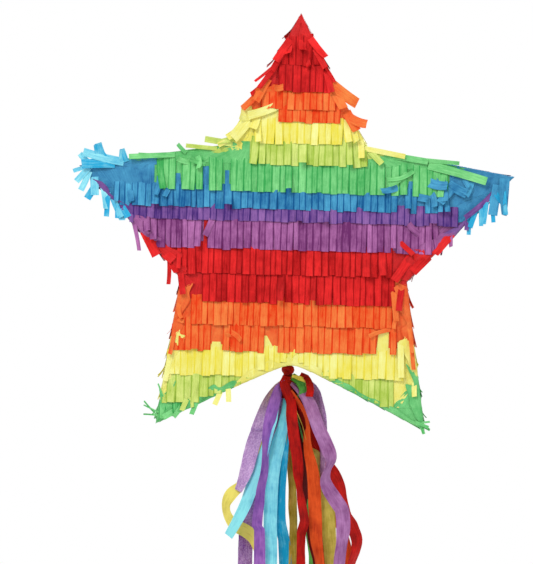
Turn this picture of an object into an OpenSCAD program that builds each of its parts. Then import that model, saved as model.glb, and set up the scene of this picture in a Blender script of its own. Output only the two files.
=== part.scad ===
// Star-shaped pull-string pinata: a cardboard box covered in rows of fringed tissue,
// with a fill flap in the back, a trap door in the bottom notch and a tassel of streamers.
// +Z is up and the front faces -Y. The origin is midway between the two string holes in the
// top point, where the hanging cord carries the load.

/* [Star box] */
// Distance from the star's centre to the tip of each point
star_r = 218; // [190:1:250]
// Distance from the star's centre to each notch between the points
notch_r = 113; // [105:1:125]
// Depth of the cardboard box, front face to back face
box_depth = 76; // [70:1:100]
// Thickness of the corrugated cardboard
board = 3; // [2:0.5:4]
// Built-up thickness of the glued tissue
tissue = 1.2; // [0.8:0.1:1.6]
// Thickness of the paper tape on the inside corners
tape = 0.4; // [0.2:0.1:0.6]
// Length of tape on each side of a corner
tape_leg = 16; // [10:1:18]

/* [Hanging holes] */
// Distance from the top tip to each string hole, along the wall
hole_from_tip = 34; // [30:1:40]
// Radius of the string holes
hole_r = 2.5; // [2:0.5:3]
// Side of the square doubler glued inside each string hole
patch_side = 22; // [16:1:24]

/* [Fill flap] */
// Width of the flap cut in the back panel
flap_w = 100; // [70:1:120]
// Cut line round the flap and the trap door
cut_gap = 0.5; // [0.4:0.1:1]

/* [Trap door] */
// Length of the door along the slope of the bottom notch
door_l = 50; // [40:1:60]
// Width of the door, front to back
door_w = 50; // [40:1:56]
// Distance from the notch to the door's free edge
door_start = 3; // [3:0.5:6]
// Distance from the free edge to the pull ribbon's hole
pull_inset = 5; // [4.5:0.5:7]
// Radius of the pull ribbon's hole
pull_hole_r = 2.2; // [2.2:0.1:2.6]

/* [Tassel] */
// Radius of the knot that the tassel hangs from
knot_r = 6; // [5:0.5:7]
// Distance from the door's outside to the middle of the knot
knot_drop = 8; // [8:0.5:12]
// Length of the longest streamers, below the knot
streamer_l = 300; // [250:5:350]
// Width of a streamer
streamer_w = 13; // [11:0.5:13]
// Thickness of a streamer with its folds
streamer_t = 0.8; // [0.5:0.1:1]

/* [Hidden] */
fine = 48;
tip_half = atan(notch_r * sin(36) / (star_r - notch_r * cos(36)));
notch_half = atan(star_r * sin(36) / (star_r * cos(36) - notch_r));
slope = 90 - notch_half;
centre_z = -(star_r - hole_from_tip * cos(tip_half));
half_depth = box_depth / 2;
inner_depth = box_depth - 2 * board;
outer_y = half_depth + tissue;
apex_z = centre_z - notch_r;
wide = 3 * star_r;

// The rows of tissue, from the top point down: each row's lower edge as a share of star_r.
row_edges = [0.78, 0.665, 0.585, 0.53, 0.435, 0.34, 0.22, 0.145, 0.09, -0.035, -0.145,
             -0.27, -0.37, -0.485, -0.595, -0.72, -0.85];
row_tints = ["crimson", "crimson", "orangered", "orangered", "khaki", "yellowgreen",
             "mediumseagreen", "steelblue", "rebeccapurple", "mediumorchid", "crimson",
             "crimson", "orangered", "orangered", "khaki", "yellowgreen", "mediumseagreen"];
row_names = ["tissue_row_01_red", "tissue_row_02_red", "tissue_row_03_orange",
             "tissue_row_04_orange", "tissue_row_05_yellow", "tissue_row_06_lime",
             "tissue_row_07_green", "tissue_row_08_blue", "tissue_row_09_violet",
             "tissue_row_10_purple", "tissue_row_11_red", "tissue_row_12_red",
             "tissue_row_13_orange", "tissue_row_14_orange", "tissue_row_15_yellow",
             "tissue_row_16_lime", "tissue_row_17_green"];
flap_top = centre_z + row_edges[6] * star_r;
flap_bottom = centre_z + row_edges[10] * star_r;

wall_names = ["wall_top_right", "wall_right_arm_upper", "wall_right_arm_lower",
              "wall_right_leg_outer", "wall_right_leg_inner", "wall_left_leg_inner",
              "wall_left_leg_outer", "wall_left_arm_lower", "wall_left_arm_upper",
              "wall_top_left"];

// The tassel: streamers in three layers, each a fan of six.
streamer_names = ["streamer_01_cyan", "streamer_02_purple", "streamer_03_cyan",
                  "streamer_04_red", "streamer_05_orange", "streamer_06_purple",
                  "streamer_07_purple", "streamer_08_purple", "streamer_09_cyan",
                  "streamer_10_yellow", "streamer_11_green", "streamer_12_yellow",
                  "streamer_13_yellow", "streamer_14_cyan", "streamer_15_red",
                  "streamer_16_purple", "streamer_17_orange", "streamer_18_red"];
streamer_tints = ["turquoise", "mediumorchid", "turquoise", "red", "orangered",
                  "mediumorchid", "mediumorchid", "mediumorchid", "turquoise", "gold",
                  "seagreen", "gold", "gold", "turquoise", "red", "mediumorchid",
                  "orangered", "red"];
// Each streamer's length as a share of the longest one's.
streamer_shares = [0.6, 0.97, 0.94, 0.91, 0.95, 0.92, 0.46, 0.96, 1, 0.93, 0.97, 0.98,
                   0.9, 0.94, 0.97, 0.86, 0.96, 0.93];
layer_lean = [6, 0, -6];
layer_spread = [1, 1.05, 1.2];
fan_full = 84;
fan_step_top = 2.2;
fan_step = 15.5;
fan_step_end = 20.5;
collar_h = 8;
collar_top_r = 5;
collar_r = 8;
collar_gap = 1;
pull_x = door_start + pull_inset;
knot_x = -pull_x * cos(slope) + (tissue + knot_drop) * sin(slope);
knot_z = apex_z - pull_x * sin(slope) - (tissue + knot_drop) * cos(slope);

// The star's ten corners, clockwise from the top tip, with its sides moved out by grow.
function star_corner(i, grow = 0) =
    let (tip = i % 2 == 0,
         r = tip ? star_r + grow / sin(tip_half) : notch_r + grow / sin(notch_half),
         a = 90 - 36 * i)
    [r * cos(a), centre_z + r * sin(a)];
function star_outline(grow = 0) = [for (i = [0:9]) star_corner(i, grow)];

// Extrudes a shape drawn in X and Z from y0 to y1.
module slab(y0, y1) {
    translate([0, y1, 0]) rotate([90, 0, 0]) linear_extrude(y1 - y0) children();
}

// The left slope of the bottom notch: X runs down it from the notch and Z points inside.
module on_slope() {
    translate([0, 0, apex_z]) rotate([0, -slope, 0]) rotate([0, 0, 180]) children();
}

// The two walls at the top tip: X runs down the wall from the tip and Z points outside.
module on_top_wall(side) {
    translate([0, 0, centre_z + star_r])
        mirror([side < 0 ? 1 : 0, 0, 0]) rotate([0, 90 - tip_half, 0]) children();
}

// Both string holes, as cutting cylinders.
module string_holes() {
    for (side = [-1, 1])
        on_top_wall(side) translate([hole_from_tip, 0, -4 * board])
            cylinder(h = 8 * board, r = hole_r, $fn = fine);
}

module flap_cut(gap) {
    translate([-flap_w / 2 - gap, 0, flap_bottom - gap])
        cube([flap_w + 2 * gap, box_depth, flap_top - flap_bottom + 2 * gap]);
}

module door_cut(gap) {
    on_slope() translate([door_start - gap, -door_w / 2 - gap, -2 * board])
        cube([door_l + 2 * gap, door_w + 2 * gap, 5 * board]);
}

module front_panel() {
    color("tan") slab(-half_depth, -half_depth + board) polygon(star_outline());
}

module back_panel() {
    color("tan") difference() {
        slab(half_depth - board, half_depth) polygon(star_outline());
        flap_cut(cut_gap);
    }
}

// One flat wall from corner i to corner i + 1, mitred at both ends.
module wall(i) {
    j = (i + 1) % 10;
    color("tan") difference() {
        slab(-inner_depth / 2, inner_depth / 2)
            polygon([star_corner(i), star_corner(j), star_corner(j, -board),
                     star_corner(i, -board)]);
        if (i == 0 || i == 9) string_holes();
        if (i == 5) door_cut(cut_gap);
    }
}

// A strip of tape folded into every inside corner but the bottom notch, which the door needs.
module corner_tapes() {
    color("wheat") for (i = [0:9]) if (i != 5) {
        here = star_corner(i, -board);
        inner = star_corner(i, -board - tape);
        ends = [for (k = [i + 9, i + 1]) star_corner(k % 10, -board)];
        ends_in = [for (k = [i + 9, i + 1]) star_corner(k % 10, -board - tape)];
        far = [for (e = ends) here + tape_leg * (e - here) / norm(e - here)];
        far_in = [for (k = [0, 1]) inner + (tape_leg - tape) * (ends_in[k] - inner)
                                           / norm(ends_in[k] - inner)];
        slab(-inner_depth / 2, inner_depth / 2)
            polygon([here, far[1], far_in[1], inner, far_in[0], far[0]]);
    }
}

module hanging_patches() {
    color("burlywood") difference() {
        for (side = [-1, 1])
            on_top_wall(side)
                translate([hole_from_tip - patch_side / 2, -patch_side / 2, -2 * board])
                    cube([patch_side, patch_side, board]);
        string_holes();
    }
}

module fill_flap() {
    color("tan") translate([-flap_w / 2, half_depth - board, flap_bottom])
        cube([flap_w, board, flap_top - flap_bottom]);
}

module fill_flap_tissue() {
    color("mediumorchid") translate([-flap_w / 2, half_depth, flap_bottom])
        cube([flap_w, tissue, flap_top - flap_bottom]);
}

module trap_door() {
    color("tan") on_slope() difference() {
        translate([door_start, -door_w / 2, 0]) cube([door_l, door_w, board]);
        translate([pull_x, 0, -board]) cylinder(h = 3 * board, r = pull_hole_r, $fn = fine);
    }
}

module trap_door_tissue() {
    color("khaki") on_slope() difference() {
        translate([door_start, -door_w / 2, -tissue]) cube([door_l, door_w, tissue]);
        translate([pull_x, 0, -board]) cylinder(h = 3 * board, r = pull_hole_r, $fn = fine);
    }
}

// The ribbon through the door, with the stop knot inside that carries the pull.
module pull_ribbon() {
    stop_r = 3.6;
    neck_r = pull_hole_r - 0.2;
    color("firebrick") on_slope() translate([pull_x, 0, 0]) {
        translate([0, 0, -tissue - knot_drop + knot_r + 0.3])
            cylinder(h = board + tissue + knot_drop - knot_r + 1, r = neck_r, $fn = fine);
        translate([0, 0, board + stop_r + 0.1]) sphere(r = stop_r, $fn = fine);
    }
}

module tassel_knot() {
    color("darkred") translate([knot_x, 0, knot_z]) sphere(r = knot_r, $fn = fine);
}

// The turns of ribbon that bind the streamers together under the knot.
module tassel_collar() {
    color("red") translate([knot_x, 0, knot_z - knot_r - collar_gap - collar_h])
        cylinder(h = collar_h, r1 = collar_r, r2 = collar_top_r, $fn = fine);
}

// One row of tissue: a thin sleeve round the star between two heights.
module tissue_row(k) {
    low = centre_z + row_edges[k] * star_r;
    high = k == 0 ? centre_z + 2 * star_r : centre_z + row_edges[k - 1] * star_r;
    color(row_tints[k]) difference() {
        slab(-outer_y, outer_y) intersection() {
            polygon(star_outline(tissue));
            translate([-wide / 2, low]) square([wide, high - low]);
        }
        slab(-half_depth, half_depth) polygon(star_outline());
        if (k < 3) string_holes();
        if (k > 5 && k < 12) flap_cut(cut_gap);
        if (k > 12) door_cut(cut_gap);
    }
}

// One streamer: a flat strip that widens from the collar and fans out to its end.
module streamer(k) {
    layer = floor(k / 6);
    place = (k % 6 - 2.5) * layer_spread[layer];
    end = -streamer_l * streamer_shares[k];
    half = streamer_w / 2;
    top = -knot_r - collar_gap - collar_h;
    color(streamer_tints[k]) translate([knot_x, 0, knot_z])
        translate([0, (1 - layer) * -2, top]) rotate([-layer_lean[layer], 0, 0])
            slab(-streamer_t / 2, streamer_t / 2)
                polygon([[place * fan_step_top - 0.9, 0], [place * fan_step - half, -fan_full],
                         [place * fan_step_end - half, end - top],
                         [place * fan_step_end + half, end - top],
                         [place * fan_step + half, -fan_full],
                         [place * fan_step_top + 0.9, 0]]);
}

front_panel();
back_panel();
for (i = [0:9])
    wall(i);
corner_tapes();
hanging_patches();
fill_flap();
fill_flap_tissue();
trap_door();
trap_door_tissue();
pull_ribbon();
tassel_knot();
tassel_collar();
for (k = [0:16])
    tissue_row(k);
for (k = [0:17])
    streamer(k);
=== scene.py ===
"""Star pinata: the looks of a cardboard star covered in rows of fringed tissue paper.

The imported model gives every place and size. Glued tissue, fringe, ribbons and knots are
surfaces of two parameters, worked out as whole arrays and closed into thin solids.
"""

import math

import bmesh
import bpy
import numpy as np
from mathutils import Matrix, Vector


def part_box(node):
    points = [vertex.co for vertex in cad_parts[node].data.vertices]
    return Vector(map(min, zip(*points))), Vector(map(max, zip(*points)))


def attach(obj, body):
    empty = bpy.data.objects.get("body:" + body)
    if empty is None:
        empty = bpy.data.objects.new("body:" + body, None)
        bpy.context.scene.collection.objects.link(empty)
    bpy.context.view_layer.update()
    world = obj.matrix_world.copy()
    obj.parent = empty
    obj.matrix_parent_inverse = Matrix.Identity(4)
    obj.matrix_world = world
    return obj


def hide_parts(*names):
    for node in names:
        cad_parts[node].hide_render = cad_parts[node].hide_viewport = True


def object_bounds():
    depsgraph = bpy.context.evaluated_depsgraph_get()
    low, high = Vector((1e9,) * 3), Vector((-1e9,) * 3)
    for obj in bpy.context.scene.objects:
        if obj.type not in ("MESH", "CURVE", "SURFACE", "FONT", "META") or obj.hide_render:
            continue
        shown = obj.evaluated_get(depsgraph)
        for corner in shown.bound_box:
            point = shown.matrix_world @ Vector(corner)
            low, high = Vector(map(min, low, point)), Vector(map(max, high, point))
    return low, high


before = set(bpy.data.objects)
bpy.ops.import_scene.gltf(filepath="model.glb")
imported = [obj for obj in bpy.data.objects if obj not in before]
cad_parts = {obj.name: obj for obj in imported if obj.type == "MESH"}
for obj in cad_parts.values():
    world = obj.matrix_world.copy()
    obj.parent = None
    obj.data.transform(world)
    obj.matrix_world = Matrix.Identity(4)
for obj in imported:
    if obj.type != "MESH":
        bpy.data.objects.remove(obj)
CAD_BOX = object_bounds()

bl_info = {
    "name": "Star pinata",
    "version": (1, 0, 0),
    "blender": (4, 5, 0),
    "location": "View3D > Sidebar > Pinata",
    "description": "Tissue rows, fringe, flap, trap door and tassel for a star pinata",
    "category": "Object",
}

MM = 0.001

# The star's own dimensions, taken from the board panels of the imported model: the distances of its
# tips and notches from its middle, half the angle at each, and half its depth.
PANEL_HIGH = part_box("front_panel")[1]
STAR_R = PANEL_HIGH[0] / math.cos(math.radians(18))
CENTRE_Z = PANEL_HIGH[2] - STAR_R
NOTCH_R = (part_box("wall_right_arm_upper")[1][2] - CENTRE_Z) / math.sin(math.radians(54))
HALF_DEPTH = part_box("back_panel")[1][1]
TURN = math.radians(36)
TIP_HALF = math.atan2(NOTCH_R * math.sin(TURN), STAR_R - NOTCH_R * math.cos(TURN))
NOTCH_HALF = math.atan2(STAR_R * math.sin(TURN), STAR_R * math.cos(TURN) - NOTCH_R)

# The bottom notch, in which the trap door and the tassel are. The door runs from DOOR_START to
# DOOR_END down the left slope, with the pull ribbon at PULL_AT.
NOTCH_SLOPE = math.pi / 2 - NOTCH_HALF
APEX_Z = CENTRE_Z - NOTCH_R
DOOR_HALF_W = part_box("trap_door")[1][1]
DOOR_START = 3 * MM
DOOR_END = 53 * MM
PULL_AT = DOOR_START + 5 * MM
FLAP_LOW, FLAP_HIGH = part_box("fill_flap")

# The string holes: how far down the edges from the top tip, their radius, and half the side of the
# square patch round each.
STRING_HOLE = 34 * MM
STRING_HOLE_R = 2.5 * MM
HOLE_PATCH = 6 * MM

KNOT = np.array([(a + b) / 2 for a, b in zip(*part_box("tassel_knot"))])
# The floor lies 90 mm under the tassel, which comes down by about 50 mm when the door opens.
FLOOR_Z = CAD_BOX[0][2] - 90 * MM

# Edges go by number: 0 runs from the top tip to the right, and the others follow clockwise. The
# first two have the string holes, on the next four the strips lie flat against the wall, and two
# of those meet at the bottom notch, where one has the trap door.
HOLE_EDGES = (0, 9)
FLAT_EDGES = (1, 4, 5, 8)
NOTCH_EDGES = (4, 5)
DOOR_EDGE = 5

# Each row of tissue from the top down: its colour, and how far its front fringe runs to the left
# and to the right of the middle, in millimetres. The other tables number the rows from 0.
ROWS = [
    ("red", -18, 20), ("red", -20, 29), ("orange", -36, 35), ("orange", -19, 40), ("yellow", -42, 50),
    ("lime", -44, 66), ("green", -135, 145), ("blue", -175, 147), ("violet", -169, 156),
    ("purple", -147, 137), ("red", -130, 94), ("red", -88, 97), ("orange", -98, 95),
    ("orange", -116, 107), ("yellow", -120, 107), ("lime", -124, 98), ("green", -126, 70),
]
ROW_NODES = [f"tissue_row_{k:02}_{colour}" for k, (colour, *_) in enumerate(ROWS, 1)]
ROW_LOW = [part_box(name)[0][2] for name in ROW_NODES]
ROW_HIGH = [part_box(name)[1][2] for name in ROW_NODES]

# How far down each of the star's ten edges every row's wrapping reaches. For each edge, from its
# upper end down: the row, and the height of the row's lower end above the star's middle in
# millimetres.
EDGE_ROWS = {
    0: [(0, 168), (1, 157), (2, 138), (3, 113), (4, 93), (5, 80)],
    1: [(5, 88), (6, 78), (7, 60)],
    2: [(7, 24), (8, 12), (9, -6), (10, -31), (11, -60)],
    3: [(11, -40), (12, -78), (13, -97), (14, -127), (16, -190)],
    4: [(14, -128), (15, -132), (16, -190)],
    5: [(14, -140), (16, -190)],
    6: [(11, -49), (12, -78), (13, -95), (14, -155), (16, -190)],
    7: [(7, 54), (8, 22), (9, -4), (10, -31), (11, -60)],
    8: [(5, 88), (6, 79), (7, 60)],
    9: [(0, 168), (1, 157), (2, 142), (3, 130), (4, 97), (5, 80)],
}
# How much wider or narrower than usual an edge's wrapping folds over the faces, by edge, or by
# edge and row.
FOLD = {1: 0.7, 8: 0.7, 2: 1.5, 7: 0.8, 4: 0.55, 5: 0.55, 3: 0.8, 6: 0.8, (7, 8): 0.45, (2, 7): 1.1,
        (2, 8): 0.55, (2, 9): 0.9, (4, 16): 0.3}

# How far a row's smooth tissue reaches to the left and right on the front, in millimetres, where
# that isn't the whole width. FAR is past the edge of the star on either side.
FAR = 230
SLEEVE_SPAN = {3: (-19, FAR), 5: (-46, 68), 6: (-137, 147), 11: (-FAR, 96), 15: (-FAR, 101)}
# Smooth tissue that shows beyond its own row: where a neighbour's is missing and in the torn gaps
# of the fringe. Row, left limit below and above, right limit below and above, and the two heights
# above the star's middle.
SLEEVE_EXTRA = [
    (4, (-70, -70), (-19, -19), 115.5, 127.5), (6, (-FAR, -FAR), (-46, -46), 74, 95.5),
    (6, (68, 68), (FAR, FAR), 74, 95.5), (7, (-FAR, -FAR), (-137, -137), 47.9, 74.5),
    (7, (147, 147), (FAR, FAR), 47.9, 74.5), (12, (96, 96), (FAR, FAR), -59, -31),
    (16, (97, 119), (FAR, FAR), -157, -129), (14, (98, 98), (105, 120), -157, -129),
    (7, (-118, -118), (-110.5, -112), 47, 63), (7, (-91, -91), (-84, -84), 47, 70.5),
    (7, (-69, -69), (-65, -65), 47, 67), (7, (88, 89), (93.5, 93), 47, 59),
    (7, (106, 108), (113, 114), 47, 61), (10, (-88, -88), (-81.5, -84), -8, 19),
    (14, (-79, -77), (-67, -69), -108, -98), (14, (-28, -27.5), (-15, -24.5), -108, -91),
    (14, (80.5, 83), (92.5, 92.5), -108, -83),
]

# Stretches of the front fringe that are torn away, in millimetres from the middle: row, from, to.
TORN = [
    (6, -119, -111), (6, -91.5, -84), (6, -70, -64), (6, 87, 94), (6, 105.5, 114), (9, -90, -82),
    (13, -80, -67), (13, -29, -16), (13, 80, 93), (13, 100, 104), (4, 12, 15), (7, 96, 104),
    (7, 118, 123),
]

# Loose ends round the star, by row, in millimetres and degrees from the star's middle: x, z,
# heading (0 to the right, -90 straight down), length, width, curl towards the front, bend to the
# side. The cyan ones are the frayed tissue at the tips of the arms.
LOOSE = {
    0: [(-13, 196, -122, 26, 7, 20, 0), (-19, 174, -135, 32, 3, 10, 6), (-17, 184, -118, 24, 6, 35, 0),
        (17, 200, -55, 24, 7, 15, -10), (28, 178, -52, 24, 3, 10, 8), (22, 190, -62, 22, 6, 25, 0),
        (-11, 190, -80, 12, 6, 70, 30), (2, 194, -100, 13, 7, 80, -25), (6, 176, -60, 9, 5, 60, 20)],
    1: [(-26, 166, -125, 24, 5, 20, 0), (31, 168, -75, 22, 6, 20, 0), (-31, 156, -130, 22, 4, 15, 10)],
    2: [(-34, 148, -128, 30, 6, 20, 8), (-30, 156, -120, 26, 8, 30, -5),
        (31, 152, -40, 31, 11, 12, -8), (34, 146, -62, 20, 9, 30, 0), (-26, 146, -165, 17, 6, 30, 15)],
    3: [(50, 122, -38, 19, 9, 20, -30), (47, 127, -60, 21, 9, 8, 0), (-12, 150, -150, 14, 6, 60, 20)],
    4: [(-17, 132, -152, 34, 8, 14, 12), (-44, 122, -160, 14, 12, 60, 30),
        (-48, 116, -128, 24, 11, 25, 0), (-40, 120, -95, 14, 8, 40, 20),
        (-58, 102, -148, 22, 5, 15, 0), (-52, 110, -140, 20, 7, 20, 5), (62, 100, -80, 18, 6, 30, 10),
        (67, 93, -10, 40, 5, 5, 0), (52, 112, -75, 16, 7, 30, 0)],
    5: [(-60, 98, -165, 18, 5, 15, 0), (-78, 91, 176, 30, 4, 4, 0), (70, 92, -45, 17, 6, 20, 0),
        (-66, 94, 172, 26, 6, 6, 0)],
    6: [(-127, 87, 178, 27, 3, 4, 0), (-108, 88, 140, 12, 4, 20, 10), (-118, 82, -176, 44, 5, 4, 0),
        (104, 84, -4, 52, 4, 4, 0), (92, 86, -8, 34, 6, 5, 0), (126, 77, -12, 58, 8, 5, 4),
        (-96, 80, -60, 14, 5, 60, 40), (-104, 74, 178, 12, 5, 50, 20), (112, 71, -135, 28, 4, 25, 45),
        (106, 70, -120, 24, 4, 35, 40), (-88, 72, 170, 16, 4, 40, 10), (140, 68, -95, 22, 6, 20, 0)],
    7: [(100, 56, -150, 21, 6, 40, 25), (117, 46, -10, 10, 7, 50, 0), (130, 50, -60, 14, 6, 40, 30),
        (168, 62, -100, 16, 6, 40, 20), (160, 66, -60, 12, 5, 50, 0), (146, 60, -40, 20, 9, 20, -20),
        (124, 62, -30, 22, 9, 35, -30), (138, 66, -70, 26, 8, 45, 20), (-122, 50, -115, 12, 5, 50, 0),
        (-132, 60, -85, 20, 5, 40, 25), (152, 58, -130, 24, 8, 40, 0), (-160, 46, -80, 12, 6, 25, 0),
        (200, 68, -92, 36, 10, 8, -4), (193, 60, -98, 30, 9, 8, 0)],
    8: [(193, 50, -131, 38, 5, 12, 12), (-158, 24, -88, 10, 4, 30, 0), (168, 24, -95, 12, 4, 30, 0)],
    9: [(-157, 18, -72, 32, 4, 12, 8), (-156, 8, -50, 16, 3, 15, -25), (152, 8, -88, 12, 4, 25, 0),
        (-79, 22, -112, 20, 6, 10, 0), (120, 10, 150, 16, 6, 30, 20)],
    10: [(-146, 6, -62, 27, 9, 12, 0), (152, 10, -128, 26, 8, 14, 0), (132, -14, -134, 22, 9, 16, 0),
        (100, 3, -42, 19, 5, 20, 0), (124, -22, 150, 12, 4, 30, 60), (-132, -20, -40, 12, 9, 20, 0),
        (112, -10, -120, 30, 8, 14, 5)],
    11: [(-125, -26, -60, 14, 8, 15, 0), (-122, -20, -85, 26, 4, 20, 8),
        (104, -40, -100, 24, 6, 15, -6), (-116, -36, -82, 24, 6, 15, 0)],
    12: [(-118, -60, -112, 16, 4, 30, -55), (-124, -74, -60, 8, 4, 40, -60),
        (100, -68, -115, 14, 4, 30, -20), (96, -44, -84, 30, 6, 12, 0), (-66, -60, -90, 22, 6, 10, 0)],
    13: [(94, -82, -172, 22, 4, 12, -18), (-124, -88, -100, 22, 4, 15, 0),
        (116, -100, -84, 20, 4, 15, 0), (-66, -92, 30, 8, 4, 60, 50), (112, -80, -80, 24, 4, 20, 5),
        (-60, -88, -20, 14, 5, 40, 30)],
    14: [(-126, -110, -100, 26, 5, 10, 0), (-30, -108, -88, 16, 7, 10, 0),
        (118, -132, -88, 14, 5, 20, 0), (-66, -146, -112, 16, 5, 15, 0),
        (-58, -146, -86, 15, 5, 15, 0), (104, -94, -88, 34, 6, 10, 0)],
    15: [(-100, -154, -112, 12, 5, 15, 0), (-96, -152, -80, 10, 4, 15, 0)],
    16: [(-90, -156, -110, 14, 5, 15, 0), (-104, -160, -125, 14, 5, 15, 0),
        (-126, -168, -205, 18, 1.5, 5, 0), (-128, -172, -220, 22, 1.5, 5, 10),
        (-130, -158, 100, 17, 1.5, 5, 0), (-127, -152, 112, 14, 1.5, 5, 0),
        (-130, -170, 170, 16, 1.5, 5, -10), (128, -172, -30, 10, 3, 20, 0),
        (124, -176, -70, 9, 3, 20, 0), (-112, -166, -150, 12, 6, 20, 0), (131, -170, 10, 9, 2, 20, 0),
        (118, -174, -20, 14, 3, 20, 0)],
    "cyan": [(-186, 84, 118, 22, 7, 12, 10), (-192, 80, 100, 20, 5, 12, 0),
        (-180, 84, 140, 22, 4, 10, 20), (-172, 86, 88, 12, 4, 15, 0), (-166, 84, 110, 13, 5, 15, 0),
        (-168, 80, 172, 40, 8, 8, 8), (-176, 76, 180, 32, 9, 12, -6), (-196, 70, 150, 18, 6, 10, 20),
        (-200, 66, -130, 18, 6, 10, 0), (-200, 62, -106, 20, 6, 12, 10), (-196, 56, -86, 18, 8, 12, 0),
        (-204, 66, -160, 12, 4, 12, 0), (-192, 52, -120, 20, 7, 14, 0), (-188, 46, -75, 22, 6, 14, 10),
        (-182, 42, -92, 24, 5, 12, 0), (-177, 38, -70, 22, 6, 14, -8), (-171, 34, -55, 18, 7, 14, 0),
        (-176, 30, -88, 16, 4, 14, 0), (-168, 30, -84, 14, 6, 14, 0), (199, 60, -84, 30, 5, 10, 0),
        (188, 48, -80, 26, 4, 12, 6), (184, 44, -96, 24, 5, 12, 0), (179, 38, -88, 20, 4, 12, 0),
        (174, 34, -108, 18, 5, 12, 0), (168, 28, -92, 18, 4, 12, 0), (190, 54, -60, 16, 5, 12, -10)],
}
# How far an edge's wrapping stands in front of its usual depth, in millimetres, where it is pasted
# over the fringe's ends: on the lower edges, from the violet row down.
OVER = {2: 1.9, 3: 1.3, 4: 1.9, 5: 1.9, 6: 1.3, 7: 1.9}
# How far outside the board the wrapping lies, and the radius that it is folded over the edges at.
WRAP_SKIN = 1.05 * MM
ROUND_R = 2.4 * MM
# The width of a plain streamer.
PLAIN_WIDTH = 13.2 * MM
# How far in front of the board an end may curl before it is pressed back.
CURL_LIMIT = 8 * MM
# The share of the usual curl that the strips have on the walls where they lie flat, by edge.
WALL_CURL = {1: 0.1, 8: 0.1, 4: 0.4, 5: 0.4}

# A pale and a deep tint for each colour of paper, first on the star and then on the streamers.
TINTS = {
    "red": ("#FF2C2C", "#A40004"), "orange": ("#FF9048", "#F03C0A"),
    "yellow": ("#FFFFA4", "#F4E64C"), "lime": ("#E8F68C", "#A8C848"),
    "green": ("#94EC98", "#3CAC56"), "blue": ("#58B6E0", "#10609C"),
    "cyan": ("#A6F6FF", "#2CB0E0"), "violet": ("#9E6EB6", "#4A2A7C"),
    "purple": ("#C67CBC", "#702C6C"),
}
STREAMER_TINTS = {
    "cyan": ("#98F0FA", "#149CC8"), "purple": ("#BE80DA", "#5A2694"), "red": ("#E41C14", "#600004"),
    "orange": ("#FA6426", "#B02C08"), "yellow": ("#FCEA74", "#A28E06"),
    "green": ("#78CC5C", "#226C2E"), "plum": ("#C68CC6", "#6C2468"),
}
CRINKLED_TINTS = {"purple": ("#E4BEEE", "#8444A4")}
# Each kind of paper: the first part of its material's name, its tints and how it differs from
# plain fringe.
PAPERS = {
    "tissue": ("dyed_tissue_fringe", TINTS, {}),
    "wrap": ("dyed_tissue_pasted", TINTS, {"streaks": 0.3, "crumple": 2.6, "gloss": 0.28}),
    "streamer": ("tissue_ribbon", STREAMER_TINTS, {"streaks": 0.4}),
    "crinkled_streamer": ("speckled_crepe_ribbon", CRINKLED_TINTS, {"speckle": 0.9, "crumple": 1.4}),
}


# ---------------------------------------------------------------- settings

def linear(hex_colour):
    """The linear-light colour of an sRGB hex value."""
    part = [int(hex_colour[i:i + 2], 16) / 255 for i in (1, 3, 5)]
    return tuple(c / 12.92 if c <= 0.04045 else ((c + 0.055) / 1.055) ** 2.4 for c in part)


class PinataFringe(bpy.types.PropertyGroup):
    """Sizes of the fringe and of the smooth tissue under it."""
    strip: bpy.props.FloatProperty(
        name="Strip width", description="Width of one cut strip of fringe",
        default=6.4 * MM, min=0.003, max=0.02, unit="LENGTH")
    overlap: bpy.props.FloatProperty(
        name="Overlap", description="How far a row reaches up under the row above it",
        default=6 * MM, min=0.0, max=0.02, unit="LENGTH")
    lift: bpy.props.FloatProperty(
        name="Lift", description="How far the cut ends stand off the row below",
        default=1.5 * MM, min=0.0, max=0.006, unit="LENGTH")
    paper: bpy.props.FloatProperty(
        name="Paper thickness", description="Thickness that a layer of tissue is drawn at",
        default=0.16 * MM, min=0.0001, max=0.001, unit="LENGTH")
    wrap: bpy.props.FloatProperty(
        name="Wrap", description="How far the smooth tissue folds over the star's edges",
        default=11 * MM, min=0.004, max=0.03, unit="LENGTH")
    seed: bpy.props.IntProperty(
        name="Seed", description="Chooses the chance sway and tone of the strips", default=5)


class PinataTassel(bpy.types.PropertyGroup):
    """Sizes of the tassel's ribbons."""
    width: bpy.props.FloatProperty(
        name="Ribbon width", description="Width of a plain streamer",
        default=PLAIN_WIDTH, min=0.005, max=0.03, unit="LENGTH")
    paper: bpy.props.FloatProperty(
        name="Ribbon thickness", description="Thickness that a streamer is drawn at",
        default=0.18 * MM, min=0.0001, max=0.001, unit="LENGTH")


class PinataColours(bpy.types.PropertyGroup):
    """Colours of the board, the tape and the studio."""
    board: bpy.props.FloatVectorProperty(
        name="Board", description="Kraft liner of the corrugated board", size=3,
        subtype="COLOR", min=0, max=1, default=linear("#B98E5E"))
    tape: bpy.props.FloatVectorProperty(
        name="Tape", description="Gummed paper tape in the corners", size=3,
        subtype="COLOR", min=0, max=1, default=linear("#D9C094"))
    floor: bpy.props.FloatVectorProperty(
        name="Floor", description="Studio floor", size=3,
        subtype="COLOR", min=0, max=1, default=linear("#F4F3F1"))


# ---------------------------------------------------------------- materials

def add_node(tree, kind, settings=None, sockets=None):
    """Adds one shader node with its settings. A socket's value is a number, or a socket to link from."""
    node = tree.nodes.new(kind)
    for key, value in (settings or {}).items():
        setattr(node, key, value)
    for key, value in (sockets or {}).items():
        if isinstance(value, bpy.types.NodeSocket):
            tree.links.new(value, node.inputs[key])
        else:
            node.inputs[key].default_value = value
    return node


def new_material(name):
    """An empty node material and its output node."""
    material = bpy.data.materials.new(name)
    material.use_nodes = True
    material.node_tree.nodes.clear()
    return material, material.node_tree, add_node(material.node_tree, "ShaderNodeOutputMaterial")


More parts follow.
